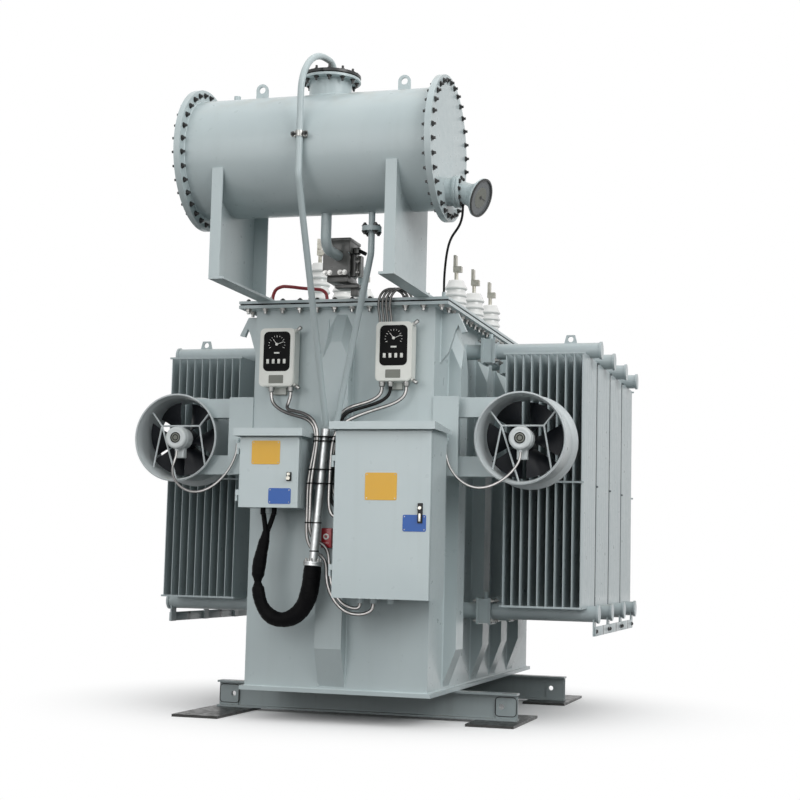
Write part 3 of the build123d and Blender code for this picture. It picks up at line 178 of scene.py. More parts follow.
UP = Vector((0.0, 0.0, 1.0))
FRONT = Vector((0.0, -1.0, 0.0))
FINISH = {}
TREES = {}
SIDES = ("left", "right")
HEADERS = (0.570, 1.962)
RADIATOR_PITCH = 0.471
RADIATOR_ROWS = (-0.533, -0.062, 0.409, 0.880)
BUSHING_X = 0.400
BUSHING_ROWS = (-0.480, -0.060, 0.360)
DRUM_Y, DRUM_Z, DRUM_RADIUS = -1.620, 2.800, 0.295
GAUGE_Z = 2.588
RISER_TOP = Vector((-0.040, -1.338, 1.492))
RISER_FOOT = Vector((-0.066, -1.398, 0.804))


def linear(colour):
    """Linear colour with alpha, from display values of nought to one."""
    steps = [c / 12.92 if c <= 0.04045 else ((c + 0.055) / 1.055) ** 2.4 for c in colour]
    return (*steps, 1.0)


def sizes():
    """Sizes that the panel shows."""
    return bpy.context.scene.transformer_sizes


def colours():
    """Colours that the panel shows."""
    return bpy.context.scene.transformer_colours


def length_setting(label, text, value):
    """Length that a user may change."""
    return bpy.props.FloatProperty(name=label, description=text, default=value, unit="LENGTH")


def colour_setting(label, text, value):
    """Colour that a user may change, in display values."""
    return bpy.props.FloatVectorProperty(name=label, description=text, default=value,
                                         subtype="COLOR_GAMMA", min=0.0, max=1.0)


class TransformerSizes(bpy.types.PropertyGroup):
    """Sizes a user may change."""
    rim_pitch: length_setting(
        "Rim Bolt Pitch", "Distance between two bolts of the cover rim", 0.095)
    bolt_head: length_setting(
        "Bolt Head", "Radius over the corners of a large bolt head", 0.0125)
    weld_width: length_setting("Weld Width", "Radius of a weld bead", 0.0042)
    rib_pitch: length_setting(
        "Conduit Rib Pitch", "Distance between two ribs of a conduit", 0.006)
    strap_width: length_setting("Strap Width", "Width of a cable strap", 0.006)
    end_bolts: bpy.props.IntProperty(
        name="End Bolts", description="Bolts round each end of the conservator", default=30, min=8)


class TransformerColours(bpy.types.PropertyGroup):
    """Colours a user may change."""
    paint: colour_setting(
        "Tank Paint", "Gloss paint of tank and fittings", (0.715, 0.762, 0.768))
    radiator: colour_setting(
        "Radiator Paint", "Gloss paint of the radiators", (0.680, 0.724, 0.732))
    case: colour_setting("Instrument Case", "Cases of the instruments", (0.865, 0.870, 0.845))
    amber: colour_setting("Amber Plate", "Blank amber plates", (0.88, 0.67, 0.14))
    blue: colour_setting("Blue Plate", "Blank blue plates", (0.02, 0.33, 0.66))
    red: colour_setting("Alarm Red", "Alarm box and cover tube", (0.60, 0.05, 0.11))


class Form:
    """Mesh of one piece, gathered from simple shapes."""

    def __init__(self):
        self.bm = bmesh.new()
        self.mark = 0

    def use(self, mark):
        """Chooses the finish of the shapes that follow."""
        self.mark = mark
        return self

    def face(self, verts):
        """Face in the finish in use."""
        face = self.bm.faces.new(verts)
        face.material_index = self.mark
        return face

    def box(self, low, high, soft=0.0, turn=None, steps=2):
        """Box between two corners, with soft edges if asked."""
        low, high = Vector(low), Vector(high)
        size, middle = high - low, (high + low) / 2
        verts = bmesh.ops.create_cube(self.bm, size=1.0)["verts"]
        for v in verts:
            spot = Vector((v.co.x * size.x, v.co.y * size.y, v.co.z * size.z))
            v.co = (turn @ spot if turn else spot) + middle
        faces = {f for v in verts for f in v.link_faces}
        if soft:
            edges = list({e for v in verts for e in v.link_edges})
            made = bmesh.ops.bevel(self.bm, geom=edges, offset=soft, segments=steps,
                                   affect="EDGES", profile=0.5)
            faces = set(made["faces"]) | {f for f in faces if f.is_valid}
        for face in faces:
            face.material_index = self.mark
        return self

    def lathe(self, profile, base, axis=UP, sides=40, close=True):
        """Turned shape from rows of radius and height."""
        turn = UP.rotation_difference(Vector(axis)).to_matrix()
        base = Vector(base)
        rings = []
        for radius, height in profile:
            if radius < 1e-6:
                rings.append([self.bm.verts.new(base + turn @ Vector((0, 0, height)))])
                continue
            ring = []
            for i in range(sides):
                a = math.tau * i / sides
                spot = Vector((radius * math.cos(a), radius * math.sin(a), height))
                ring.append(self.bm.verts.new(base + turn @ spot))
            rings.append(ring)
        for a, b in zip(rings, rings[1:]):
            for i in range(sides):
                j = (i + 1) % sides
                if len(a) == 1 and len(b) > 1:
                    self.face((a[0], b[j], b[i]))
                elif len(b) == 1 and len(a) > 1:
                    self.face((a[i], a[j], b[0]))
                elif len(a) > 1:
                    self.face((a[i], a[j], b[j], b[i]))
        if close:
            for ring in (rings[0], rings[-1]):
                if len(ring) > 1:
                    self.face(ring)
        return self

    def tube(self, path, radii, sides=12, close=True):
        """Round tube along a path, of one radius or one for each spot."""
        path = [Vector(p) for p in path]
        if not hasattr(radii, "__len__"):
            radii = [radii] * len(path)
        heading = (path[1] - path[0]).normalized()
        across = heading.orthogonal().normalized()
        rings = []
        for i, spot in enumerate(path):
            ahead = path[min(i + 1, len(path) - 1)] - path[max(i - 1, 0)]
            ahead.normalize()
            across = (heading.rotation_difference(ahead) @ across).normalized()
            heading = ahead
            other = heading.cross(across)
            rings.append([self.bm.verts.new(
                spot + radii[i] * (math.cos(math.tau * k / sides) * across
                                   + math.sin(math.tau * k / sides) * other))
                for k in range(sides)])
        for a, b in zip(rings, rings[1:]):
            for k in range(sides):
                j = (k + 1) % sides
                self.face((a[k], a[j], b[j], b[k]))
        if close:
            self.face(rings[0])
            self.face(rings[-1])
        return self

    def slab(self, outline, origin, across, along, depth):
        """Plate of an outline, drawn out by its depth."""
        across, along, origin = Vector(across), Vector(along), Vector(origin)
        out = across.cross(along).normalized() * depth
        near = [self.bm.verts.new(origin + u * across + v * along) for u, v in outline]
        far = [self.bm.verts.new(v.co + out) for v in near]
        self.face(near)
        self.face(far)
        for i in range(len(near)):
            j = (i + 1) % len(near)
            self.face((near[i], near[j], far[j], far[i]))
        return self

    def piece(self, name, body, slot, *finishes, angle=38.0):
        """Ends the form as a piece of the scene."""
        bmesh.ops.remove_doubles(self.bm, verts=self.bm.verts, dist=1e-6)
        bmesh.ops.recalc_face_normals(self.bm, faces=self.bm.faces)
        mesh = bpy.data.meshes.new(name)
        self.bm.to_mesh(mesh)
        self.bm.free()
        return settle(name, mesh, body, slot, finishes, angle)


def settle(name, mesh, body, slot, finishes=(), angle=38.0):
    """Object of a mesh, with its finishes, riding on a body."""
    for finish in finishes:
        mesh.materials.append(FINISH[finish])
    for polygon in mesh.polygons:
        polygon.use_smooth = True
    mesh.set_sharp_from_angle(angle=math.radians(angle))
    made = bpy.data.objects.new(name, mesh)
    bpy.context.scene.collection.objects.link(made)
    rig.ride(made, body)
    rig.slot(made, slot)
    return made


def rounded(width, height, radius, steps=5):
    """Outline of a rectangle with round corners, about its middle."""
    spots = []
    for cx, cy, start in ((1, 1, 0), (-1, 1, 90), (-1, -1, 180), (1, -1, 270)):
        for i in range(steps + 1):
            a = math.radians(start + 90.0 * i / steps)
            spots.append((cx * (width / 2 - radius) + radius * math.cos(a),
                          cy * (height / 2 - radius) + radius * math.sin(a)))
    return spots


def mm(*numbers):
    """Place in metres, from millimetres."""
    return Vector(numbers) * 0.001


def route(points, fine=12):
    """Spots along the curve that has these control points, in metres."""
    made = bpy.data.objects.new("route", spline_of("route", points, fine))
    bpy.context.scene.collection.objects.link(made)
    bpy.context.view_layer.update()
    graph = bpy.context.evaluated_depsgraph_get()
    mesh = bpy.data.meshes.new_from_object(made.evaluated_get(graph))
    spots = [v.co.copy() for v in mesh.vertices]
    data = made.data
    bpy.data.objects.remove(made)
    bpy.data.curves.remove(data)
    bpy.data.meshes.remove(mesh)
    return spots


def spline_of(name, points, fine=12):
    """Curve of one open spline with the given control points."""
    data = bpy.data.curves.new(name, "CURVE")
    data.dimensions = "3D"
    data.resolution_u = fine
    spline = data.splines.new("NURBS")
    spline.points.add(len(points) - 1)
    for control, spot in zip(spline.points, points):
        control.co = (*spot, 1.0)
    spline.order_u = 3
    spline.use_endpoint_u = True
    return data


def length_of(spots):
    """Length of the line through the spots."""
    return sum((b - a).length for a, b in zip(spots, spots[1:]))


# Node trees


def add(tree, kind, feeds=(), **settings):
    """Outputs of a new node. A feed is a value, or the socket that it comes from."""
    node = tree.nodes.new(kind)
    for label, value in settings.items():
        setattr(node, label, value)
    for key, feed in feeds.items() if isinstance(feeds, dict) else enumerate(feeds):
        if isinstance(feed, bpy.types.NodeSocket):
            tree.links.new(feed, node.inputs[key])
        else:
            node.inputs[key].default_value = feed
    return node.outputs


def sums(tree, operation, *feeds):
    """Result of one step of arithmetic."""
    return add(tree, "ShaderNodeMath", feeds, operation=operation)[0]


def sockets(tree, direction, rows):
    """Gives a tree its sockets, from rows of label, kind and value."""
    for label, kind, *value in rows:
        socket = tree.interface.new_socket(label, in_out=direction,
                                           socket_type="NodeSocket" + kind)
        if value:
            socket.default_value = value[0]


def tree_of(name, geometry, inputs):
    """Geometry tree with one geometry input and the given values."""
    tree = bpy.data.node_groups.new(name, "GeometryNodeTree")
    sockets(tree, "INPUT", ((geometry, "Geometry"), *inputs))
    sockets(tree, "OUTPUT", (("Made", "Geometry"),))
    return tree


def painted(tree, made, material):
    """Ends a tree with plain geometry in the given material."""
    real = add(tree, "GeometryNodeRealizeInstances", {"Geometry": made})
    paint = add(tree, "GeometryNodeSetMaterial", {"Geometry": real[0], "Material": material})
    add(tree, "NodeGroupOutput", [paint["Geometry"]])
    return tree


def bolt_tree():
    """Hex heads with washer and stud end on the given spots."""
    tree = tree_of("hex_bolts", "Spots", (
        ("Head Radius", "Float", 0.0125), ("Head Height", "Float", 0.009),
        ("Washer Height", "Float", 0.0025), ("Stud Height", "Float", 0.016),
        ("Metal", "Material")))
    enter, joined = add(tree, "NodeGroupInput"), tree.nodes.new("GeometryNodeJoinGeometry")
    for sides, share, height in ((14, 1.28, "Washer Height"), (6, 1.0, "Head Height"),
                                 (10, 0.56, "Stud Height")):
        solid = add(tree, "GeometryNodeMeshCylinder", {
            "Vertices": sides, "Depth": enter[height],
            "Radius": sums(tree, "MULTIPLY", enter["Head Radius"], share)})
        lift = add(tree, "ShaderNodeCombineXYZ", {"Z": sums(tree, "MULTIPLY", enter[height], 0.5)})
        move = add(tree, "GeometryNodeTransform", {
            "Geometry": solid["Mesh"], "Translation": lift[0]})
        tree.links.new(move["Geometry"], joined.inputs["Geometry"])
    facing, scale, turn = (
        add(tree, "GeometryNodeInputNamedAttribute", {"Name": label}, data_type=kind)
        for label, kind in (("facing", "FLOAT_VECTOR"), ("share", "FLOAT"), ("turn", "FLOAT")))
    align = add(tree, "FunctionNodeAlignRotationToVector", {"Vector": facing["Attribute"]}, axis="Z")
    spin = add(tree, "FunctionNodeAxisAngleToRotation", {
        "Axis": (0.0, 0.0, 1.0), "Angle": turn["Attribute"]})
    both = add(tree, "FunctionNodeRotateRotation", {
        "Rotation": align["Rotation"], "Rotate By": spin["Rotation"]}, rotation_space="LOCAL")
    place = add(tree, "GeometryNodeInstanceOnPoints", {
        "Points": enter["Spots"], "Instance": joined.outputs["Geometry"],
        "Rotation": both["Rotation"], "Scale": scale["Attribute"]})
    return painted(tree, place["Instances"], enter["Metal"])


def path_tree(name, uneven):
    """Bead or ribbed hose along the given edges."""
    tree = tree_of(name, "Path", (
        ("Radius", "Float", 0.004), ("Step", "Float", 0.006), ("Depth", "Float", 0.15),
        ("Seed", "Float", 4.0), ("Skin", "Material")))
    enter = add(tree, "NodeGroupInput")
    line = add(tree, "GeometryNodeMeshToCurve", {"Mesh": enter["Path"]})
    even = add(tree, "GeometryNodeResampleCurve", {
        "Curve": line["Curve"], "Length": enter["Step"]}, mode="LENGTH")
    if uneven:
        swell = add(tree, "ShaderNodeTexNoise", {"Scale": 90.0, "W": enter["Seed"]},
                    noise_dimensions="4D")["Fac"]
    else:
        swell = sums(tree, "MODULO", add(tree, "GeometryNodeInputIndex")[0], 2.0)
    ring = add(tree, "GeometryNodeCurvePrimitiveCircle", {
        "Resolution": 8 if uneven else 12, "Radius": enter["Radius"]})
    sweep = add(tree, "GeometryNodeCurveToMesh", {
        "Curve": even["Curve"], "Profile Curve": ring["Curve"], "Fill Caps": True,
        "Scale": sums(tree, "MULTIPLY_ADD", swell, enter["Depth"], 1.0)})
    return painted(tree, sweep["Mesh"], enter["Skin"])


def grown(name, seed_mesh, tree, values):
    """Plain mesh that a node tree makes from a seed mesh."""
    seed = bpy.data.objects.new(name + "_seed", seed_mesh)
    bpy.context.scene.collection.objects.link(seed)
    growth = seed.modifiers.new("growth", "NODES")
    growth.node_group = tree
    for item in tree.interface.items_tree:
        if item.in_out == "INPUT" and item.name in values:
            growth[item.identifier] = values[item.name]
    bpy.context.view_layer.update()
    graph = bpy.context.evaluated_depsgraph_get()
    mesh = bpy.data.meshes.new_from_object(seed.evaluated_get(graph))
    seed.modifiers.remove(growth)
    bpy.data.objects.remove(seed)
    bpy.data.meshes.remove(seed_mesh)
    mesh.name = name
    return mesh


def bolts(name, spots, finish="zinc", head=None, body="root", slot="terminal_metal",
          stud=1.35, washer=0.2):
    """Bolts on spots of (place, facing) or (place, facing, share)."""
    head = head or sizes().bolt_head
    chance = random.Random(len(spots) * 7 + len(name))
    seed = bpy.data.meshes.new(name + "_spots")
    seed.from_pydata([tuple(s[0]) for s in spots], [], [])
    for label, kind in (("facing", "FLOAT_VECTOR"), ("share", "FLOAT"), ("turn", "FLOAT")):
        seed.attributes.new(label, kind, "POINT")
    facing, share, turn = (seed.attributes[label].data for label in ("facing", "share", "turn"))
    for i, spot in enumerate(spots):
        facing[i].vector = tuple(spot[1])
        share[i].value = spot[2] if len(spot) > 2 else 1.0
        turn[i].value = chance.uniform(0.0, 1.05)
    mesh = grown(name, seed, TREES["bolts"], {
        "Head Radius": head, "Head Height": head * 0.75, "Washer Height": head * washer,
        "Stud Height": head * stud, "Metal": FINISH[finish]})
    return settle(name, mesh, body, slot)


def path_piece(name, lines, tree, finish, slot, radius, step, depth, body="root", angle=50.0):
    """Beads or hoses along several lines, as one piece."""
    verts, edges = [], []
    for line in lines:
        start = len(verts)
        verts.extend(tuple(p) for p in line)
        edges.extend((start + i, start + i + 1) for i in range(len(line) - 1))
    seed = bpy.data.meshes.new(name + "_lines")
    seed.from_pydata(verts, edges, [])
    mesh = grown(name, seed, TREES[tree], {
        "Radius": radius, "Step": step, "Depth": depth, "Seed": 4.0, "Skin": FINISH[finish]})
    return settle(name, mesh, body, slot, angle=angle)


def ring_spots(middle, axis, radius, count, facing=None, phase=0.0):
    """Spots round a circle, each with its facing."""
    turn = UP.rotation_difference(Vector(axis)).to_matrix()
    out = Vector(facing if facing is not None else axis)
    return [(Vector(middle) + turn @ Vector((radius * math.cos(a), radius * math.sin(a), 0)), out)
            for a in (math.tau * (i + phase) / count for i in range(count))]


def circle(middle, axis, radius, count):
    """Closed line round a circle."""
    spots = [place for place, _ in ring_spots(middle, axis, radius, count)]
    return spots + spots[:1]


# Finishes


# Layer Weight facing over which metal finishes grow their painted shade, darker on faces turned away from the view.
EDGE_BAND = (0.06, 0.24)


def shader_group(name, inputs, outputs):
    """Shader group with its sockets, and what enters it."""
    group = bpy.data.node_groups.new(name, "ShaderNodeTree")
    sockets(group, "INPUT", inputs)
    sockets(group, "OUTPUT", [(label, kind) for label, kind in (
        ("Colour", "Color"), ("Roughness", "Float"), ("Normal", "Vector")) if label in outputs])
    return group, add(group, "NodeGroupInput")


def noise_of(group, scale, detail, stretch=None):
    """Noise in object coordinates, stretched if asked."""
    place = add(group, "ShaderNodeTexCoord")["Object"]
    if stretch:
        place = add(group, "ShaderNodeMapping", {"Vector": place, "Scale": stretch})["Vector"]
    return add(group, "ShaderNodeTexNoise", {
        "Vector": place, "Scale": scale, "Detail": detail})["Fac"]


def spread(group, source, low, high, to_low, to_high):
    """Value moved from one range to another."""
    return add(group, "ShaderNodeMapRange", {
        "Value": source, "From Min": low, "From Max": high, "To Min": to_low,
        "To Max": to_high})["Result"]


def layered(group, colour, factor, top, blend="MIX"):
    """Colour, with another one laid over it where the factor is high."""
    return add(group, "ShaderNodeMix", {"Factor": factor, "A": colour, "B": top},
               data_type="RGBA", blend_type=blend)["Result"]


def shaded(group, colour, factor, dark):
    """Colour, and its darker share where the factor is high."""
    return layered(group, colour, factor, (*dark, 1.0), "MULTIPLY")


def grain(group, scale, detail, strength, distance, under=None):
    """Normal of a grained surface, on top of another normal if given."""
    feeds = {"Strength": strength, "Distance": distance, "Height": noise_of(group, scale, detail)}
    if under:
        feeds["Normal"] = under
    return add(group, "ShaderNodeBump", feeds)["Normal"]


def paint_group():
    """Gloss paint with soft mottle, run marks and dust on upward faces."""
    group, enter = shader_group("worn_paint", (
        ("Colour", "Color", (0.5, 0.5, 0.5, 1.0)), ("Mottle", "Float", 1.0),
        ("Runs", "Float", 1.0), ("Dust", "Float", 1.0)), ("Colour", "Roughness", "Normal"))
    mottle = spread(group, noise_of(group, 3.2, 5.0), 0.42, 0.72, 0.0, 0.30)
    mottle = sums(group, "MULTIPLY", mottle, enter["Mottle"])
    runs = spread(group, noise_of(group, 1.0, 4.0, (16.0, 16.0, 0.9)), 0.54, 0.76, 0.0, 0.28)
    runs = sums(group, "MULTIPLY", runs, enter["Runs"])
    colour = shaded(group, enter["Colour"], mottle, (0.80, 0.83, 0.85))
    colour = shaded(group, colour, runs, (0.74, 0.74, 0.70))
    facing = add(group, "ShaderNodeNewGeometry")["Normal"]
    level = add(group, "ShaderNodeSeparateXYZ", {"Vector": facing})["Z"]
    top = spread(group, level, 0.55, 0.98, 0.0, 1.0)
    grit = spread(group, noise_of(group, 11.0, 6.0), 0.45, 0.7, 0.0, 0.5)
    dust = sums(group, "MULTIPLY", sums(group, "MULTIPLY", top, grit), enter["Dust"])
    wave = grain(group, 5.0, 1.0, 0.10, 0.012)
    add(group, "NodeGroupOutput", {
        "Colour": layered(group, colour, dust, linear((0.66, 0.65, 0.60))),
        "Roughness": spread(group, noise_of(group, 24.0, 3.0), 0.3, 0.7, 0.27, 0.42),
        "Normal": grain(group, 260.0, 1.0, 0.05, 0.002, wave)})
    return group


def seam_group():
    """Paint of the radiators, with painted shade in the gaps where two of them meet."""
    group, enter = shader_group("seam_paint", (
        ("Colour", "Color", (0.5, 0.5, 0.5, 1.0)), ("Runs", "Float", 1.0)),
        ("Colour", "Roughness", "Normal"))
    paint = group.nodes.new("ShaderNodeGroup")
    paint.node_tree = TREES["paint"]
    for label in ("Colour", "Runs"):
        group.links.new(enter[label], paint.inputs[label])
    # Painted shade: darkens the paint within about 26 mm of each gap between two neighbouring radiators, toward a dark
    # blue-grey.
    place = add(group, "ShaderNodeTexCoord")["Object"]
    along = add(group, "ShaderNodeSeparateXYZ", {"Vector": place})["Y"]
    first_seam = (RADIATOR_ROWS[0] + RADIATOR_ROWS[1]) / 2
    fold = sums(group, "PINGPONG", sums(group, "ADD", along, -first_seam), RADIATOR_PITCH / 2)
    seam = spread(group, fold, 0.008, 0.026, 1.0, 0.0)
    for limits in ((-0.62, -0.60, 0.0, 1.0), (1.02, 1.04, 1.0, 0.0)):
        seam = sums(group, "MULTIPLY", seam, spread(group, along, *limits))
    add(group, "NodeGroupOutput", {
        "Colour": shaded(group, paint.outputs["Colour"], seam, (0.16, 0.18, 0.19)),
        "Roughness": paint.outputs["Roughness"], "Normal": paint.outputs["Normal"]})
    return group


def metal_group():
    """Bare or zinc-coated metal with clouded grain, and painted shade that darkens it by the share given from the
    material.
    """
    group, enter = shader_group("metal_grain", (
        ("Colour", "Color", (0.6, 0.6, 0.6, 1.0)), ("Stain", "Float", 1.0),
        ("Edge", "Float", 0.0)), ("Colour", "Roughness", "Normal"))
    cloud = noise_of(group, 38.0, 4.0)
    stain = sums(group, "MULTIPLY", spread(group, cloud, 0.45, 0.72, 0.0, 0.7), enter["Stain"])
    colour = shaded(group, enter["Colour"], stain, (0.55, 0.53, 0.50))
    # The last socket darkens the colour toward near black: painted shade, fed from the material.
    add(group, "NodeGroupOutput", {
        "Colour": shaded(group, colour, enter["Edge"], (0.05, 0.05, 0.055)),
        "Roughness": spread(group, cloud, 0.3, 0.7, 0.26, 0.5),
        "Normal": grain(group, 420.0, 2.0, 0.08, 0.001)})
    return group


def soft_group():
    """Rubber, plastic or glaze with faint dust and grain."""
    group, enter = shader_group("fine_grain", (
        ("Colour", "Color", (0.1, 0.1, 0.1, 1.0)), ("Dust", "Float", 1.0)), ("Colour", "Normal"))
    dust = spread(group, noise_of(group, 17.0, 5.0), 0.48, 0.75, 0.0, 0.35)
    dust = sums(group, "MULTIPLY", dust, enter["Dust"])
    add(group, "NodeGroupOutput", {
        "Colour": layered(group, enter["Colour"], dust, linear((0.55, 0.54, 0.51))),
        "Normal": grain(group, 300.0, 2.0, 0.10, 0.001)})
    return group


def finish(name, group, colour, settings=None, edge=0.0, **surface):
    """Material whose surface follows a shared shader group, with painted shade on faces turned away from the view if
    asked.
    """
    made = bpy.data.materials.new(name)
    made.use_nodes = True
    nodes, link = made.node_tree.nodes, made.node_tree.links.new
    shader = nodes["Principled BSDF"]
    effect = nodes.new("ShaderNodeGroup")
    effect.node_tree = TREES[group]
    effect.inputs["Colour"].default_value = linear(colour)
    for label, value in (settings or {}).items():
        effect.inputs[label].default_value = value
    # Painted shade: Layer Weight darkens the metal colour on faces turned away from the view, up to the share edge.
    if edge:
        turned_away = add(made.node_tree, "ShaderNodeLayerWeight")["Facing"]
        link(spread(made.node_tree, turned_away, *EDGE_BAND, 0.0, edge), effect.inputs["Edge"])
    link(effect.outputs["Colour"], shader.inputs["Base Color"])
    link(effect.outputs["Normal"], shader.inputs["Normal"])
    if "Roughness" in effect.outputs and "Roughness" not in surface:
        link(effect.outputs["Roughness"], shader.inputs["Roughness"])
    for label, value in surface.items():
        shader.inputs[label.replace("_", " ")].default_value = value
    FINISH[name] = made
    return made


class Step(bpy.types.Operator):
    """Base of the steps listed in the panel."""
    bl_idname = "transformer.step"
    bl_label = "Step"

    def execute(self, context):
        self.make()
        return {"FINISHED"}

    def make(self):
        """Does the work of the step."""


class TRANSFORMER_OT_finishes(Step):
    """Makes the finishes and gives them to the CAD nodes"""
    bl_idname = "transformer.finishes"
    bl_label = "Finishes"

    NODES = {
        "paint": "tank_walls tank_rim tank_cover tank_floor front_stiffener rear_stiffener "
                 "side_stiffeners left_saddle right_saddle conservator_shell enclosure_rails "
                 "conservator_left_end conservator_right_end left_fan_bracket right_fan_bracket "
                 "relay_pipes breather_pipe filler_pipe radiator_valves",
        "skid_paint": "front_skid rear_skid",
        "door_paint": "control_cabinet control_cabinet_door terminal_box terminal_box_door",
        "radiator": " ".join(f"{s}_radiator_{n}" for s in SIDES for n in (1, 2, 3, 4))
                    + " radiator_links",
        "duct": "left_fan_duct right_fan_duct",
        "motor": "left_fan_motor right_fan_motor",
        "rotor": "left_fan_rotor right_fan_rotor",
        "rubber": "cover_gasket neck_gasket",
        "plate": "ground_plates",
        "porcelain": "bushings",
        "tinned": "bushing_terminals",
        "lock": "control_cabinet_lock terminal_box_lock",
        "case": "temperature_controllers",
        "cast": "gas_relay oil_level_gauge",
        "riser": "cable_riser",
        "conduit": "controller_conduits",
        "cable": "trunk_cable gauge_lead left_fan_lead right_fan_lead",
        "capillary": "capillary_tubes",
        "red": "alarm_box",
        "tube_red": "cover_tube",
        "dark_paint": "neck_cover",
    }

    def make(self):
        tint = colours()
        TREES["paint"], TREES["metal"], TREES["soft"] = paint_group(), metal_group(), soft_group()
        TREES["seam"], TREES["bolts"] = seam_group(), bolt_tree()
        TREES["bead"], TREES["hose"] = path_tree("weld_bead", True), path_tree("ribbed_hose", False)
        paint = tuple(tint.paint)
        finish("paint", "paint", paint, {"Mottle": 0.8, "Runs": 0.5}, Coat_Weight=0.15,
               Coat_Roughness=0.12, Specular_IOR_Level=0.35)
        finish("skid_paint", "paint", [c * 0.80 for c in paint], {"Runs": 1.5, "Dust": 1.6},
               Coat_Weight=0.1, Coat_Roughness=0.2, Specular_IOR_Level=0.35)
        finish("door_paint", "paint", [c * 1.03 for c in paint], {"Mottle": 0.6, "Runs": 0.5},
               Coat_Weight=0.3, Coat_Roughness=0.1)
        # The radiators take the paint with painted shade in the gaps between them.
        finish("radiator", "seam", tuple(tint.radiator), {"Runs": 0.8}, Coat_Weight=0.1,
               Coat_Roughness=0.15, Specular_IOR_Level=0.35)
        finish("duct", "paint", (0.74, 0.765, 0.77), {"Mottle": 0.7, "Runs": 0.4})
        finish("dark_paint", "paint", (0.13, 0.14, 0.14), {"Runs": 0.4})
        finish("motor", "paint", (0.82, 0.84, 0.84), {"Mottle": 0.6, "Runs": 0.4})
        finish("bead", "paint", [c * 1.05 for c in paint], {"Runs": 0.2, "Dust": 0.3},
               Coat_Weight=0.3)
        # Zinc, dark bolts, riser, conduits and capillaries get painted shade on faces turned away from the view, at
        # the share edge.
        finish("zinc", "metal", (0.72, 0.72, 0.71), edge=0.35, Metallic=0.85)
        finish("dark_bolt", "metal", (0.27, 0.27, 0.27), edge=0.3, Metallic=0.6)
        finish("riser", "metal", (0.86, 0.87, 0.87), {"Stain": 0.6}, edge=0.45, Metallic=0.75)
        finish("conduit", "metal", (0.80, 0.79, 0.78), {"Stain": 0.5}, edge=0.9, Metallic=0.6)
        finish("capillary", "metal", (0.58, 0.57, 0.56), {"Stain": 0.6}, edge=0.97, Metallic=0.3)
        finish("nickel", "metal", (0.80, 0.79, 0.75), {"Stain": 0.4}, Metallic=0.95)
        finish("tinned", "metal", (0.73, 0.72, 0.68), Metallic=0.9)
        finish("plate", "metal", (0.22, 0.22, 0.215), {"Stain": 1.3}, Metallic=0.3)
        finish("cast", "paint", (0.50, 0.52, 0.51), {"Runs": 0.6}, Coat_Weight=0.1)
        finish("rubber", "soft", (0.045, 0.045, 0.05), Roughness=0.7, Specular_IOR_Level=0.15)
        finish("cable", "soft", (0.045, 0.045, 0.05), {"Dust": 0.15}, Roughness=0.5,
               Specular_IOR_Level=0.2)
        finish("loom", "soft", (0.035, 0.035, 0.042), {"Dust": 0.04}, Roughness=0.5,
               Specular_IOR_Level=0.05)
        # The white leads also get painted shade on faces turned away from the view.
        finish("lead_white", "metal", (0.88, 0.87, 0.86), {"Stain": 0.4}, edge=0.8, Metallic=0.35)
        finish("black", "soft", (0.04, 0.04, 0.045), {"Dust": 0.08}, Roughness=0.45,
               Specular_IOR_Level=0.08)
        finish("lock", "soft", (0.045, 0.045, 0.05), {"Dust": 0.2}, Roughness=0.32,
               Specular_IOR_Level=0.3)
        # Near-black blue blades: partly their own dark colour, partly painted shade of the dark inside of the duct.
        finish("rotor", "soft", (0.075, 0.085, 0.105), {"Dust": 0.06}, Roughness=0.42,
               Specular_IOR_Level=0.25)
        finish("case", "soft", tuple(tint.case), {"Dust": 0.25}, Roughness=0.36, Coat_Weight=0.15)
        finish("white", "soft", (0.90, 0.90, 0.88), {"Dust": 0.2}, Roughness=0.35)
        finish("porcelain", "soft", (0.90, 0.90, 0.89), {"Dust": 0.25}, Roughness=0.16,
               Coat_Weight=0.5, Coat_Roughness=0.06)
        finish("red", "soft", tuple(tint.red), {"Dust": 0.15}, Roughness=0.34, Coat_Weight=0.2)
        finish("tube_red", "soft", [c * 0.86 for c in tint.red], {"Dust": 0.2}, Roughness=0.4)
        finish("lens", "soft", (0.38, 0.40, 0.41), {"Dust": 0.3}, Roughness=0.22)
        finish("relay", "paint", (0.34, 0.34, 0.33), {"Runs": 0.6}, Coat_Weight=0.1)
        finish("amber", "soft", tuple(tint.amber), {"Dust": 0.08}, Roughness=0.32)
        finish("blue", "soft", tuple(tint.blue), {"Dust": 0.04}, Roughness=0.32)
        finish("grey_plate", "soft", (0.42, 0.43, 0.40), {"Dust": 0.3}, Roughness=0.4)
        finish("glass", "soft", (0.03, 0.035, 0.04), {"Dust": 0.04}, Roughness=0.3,
               Specular_IOR_Level=0.05)
        for name, nodes in self.NODES.items():
            for node in nodes.split():
                shown = frame["nodes"][node]
                if not shown.material_slots:
                    shown.data.materials.append(FINISH[name])
                for place in shown.material_slots:
                    place.material = FINISH[name]


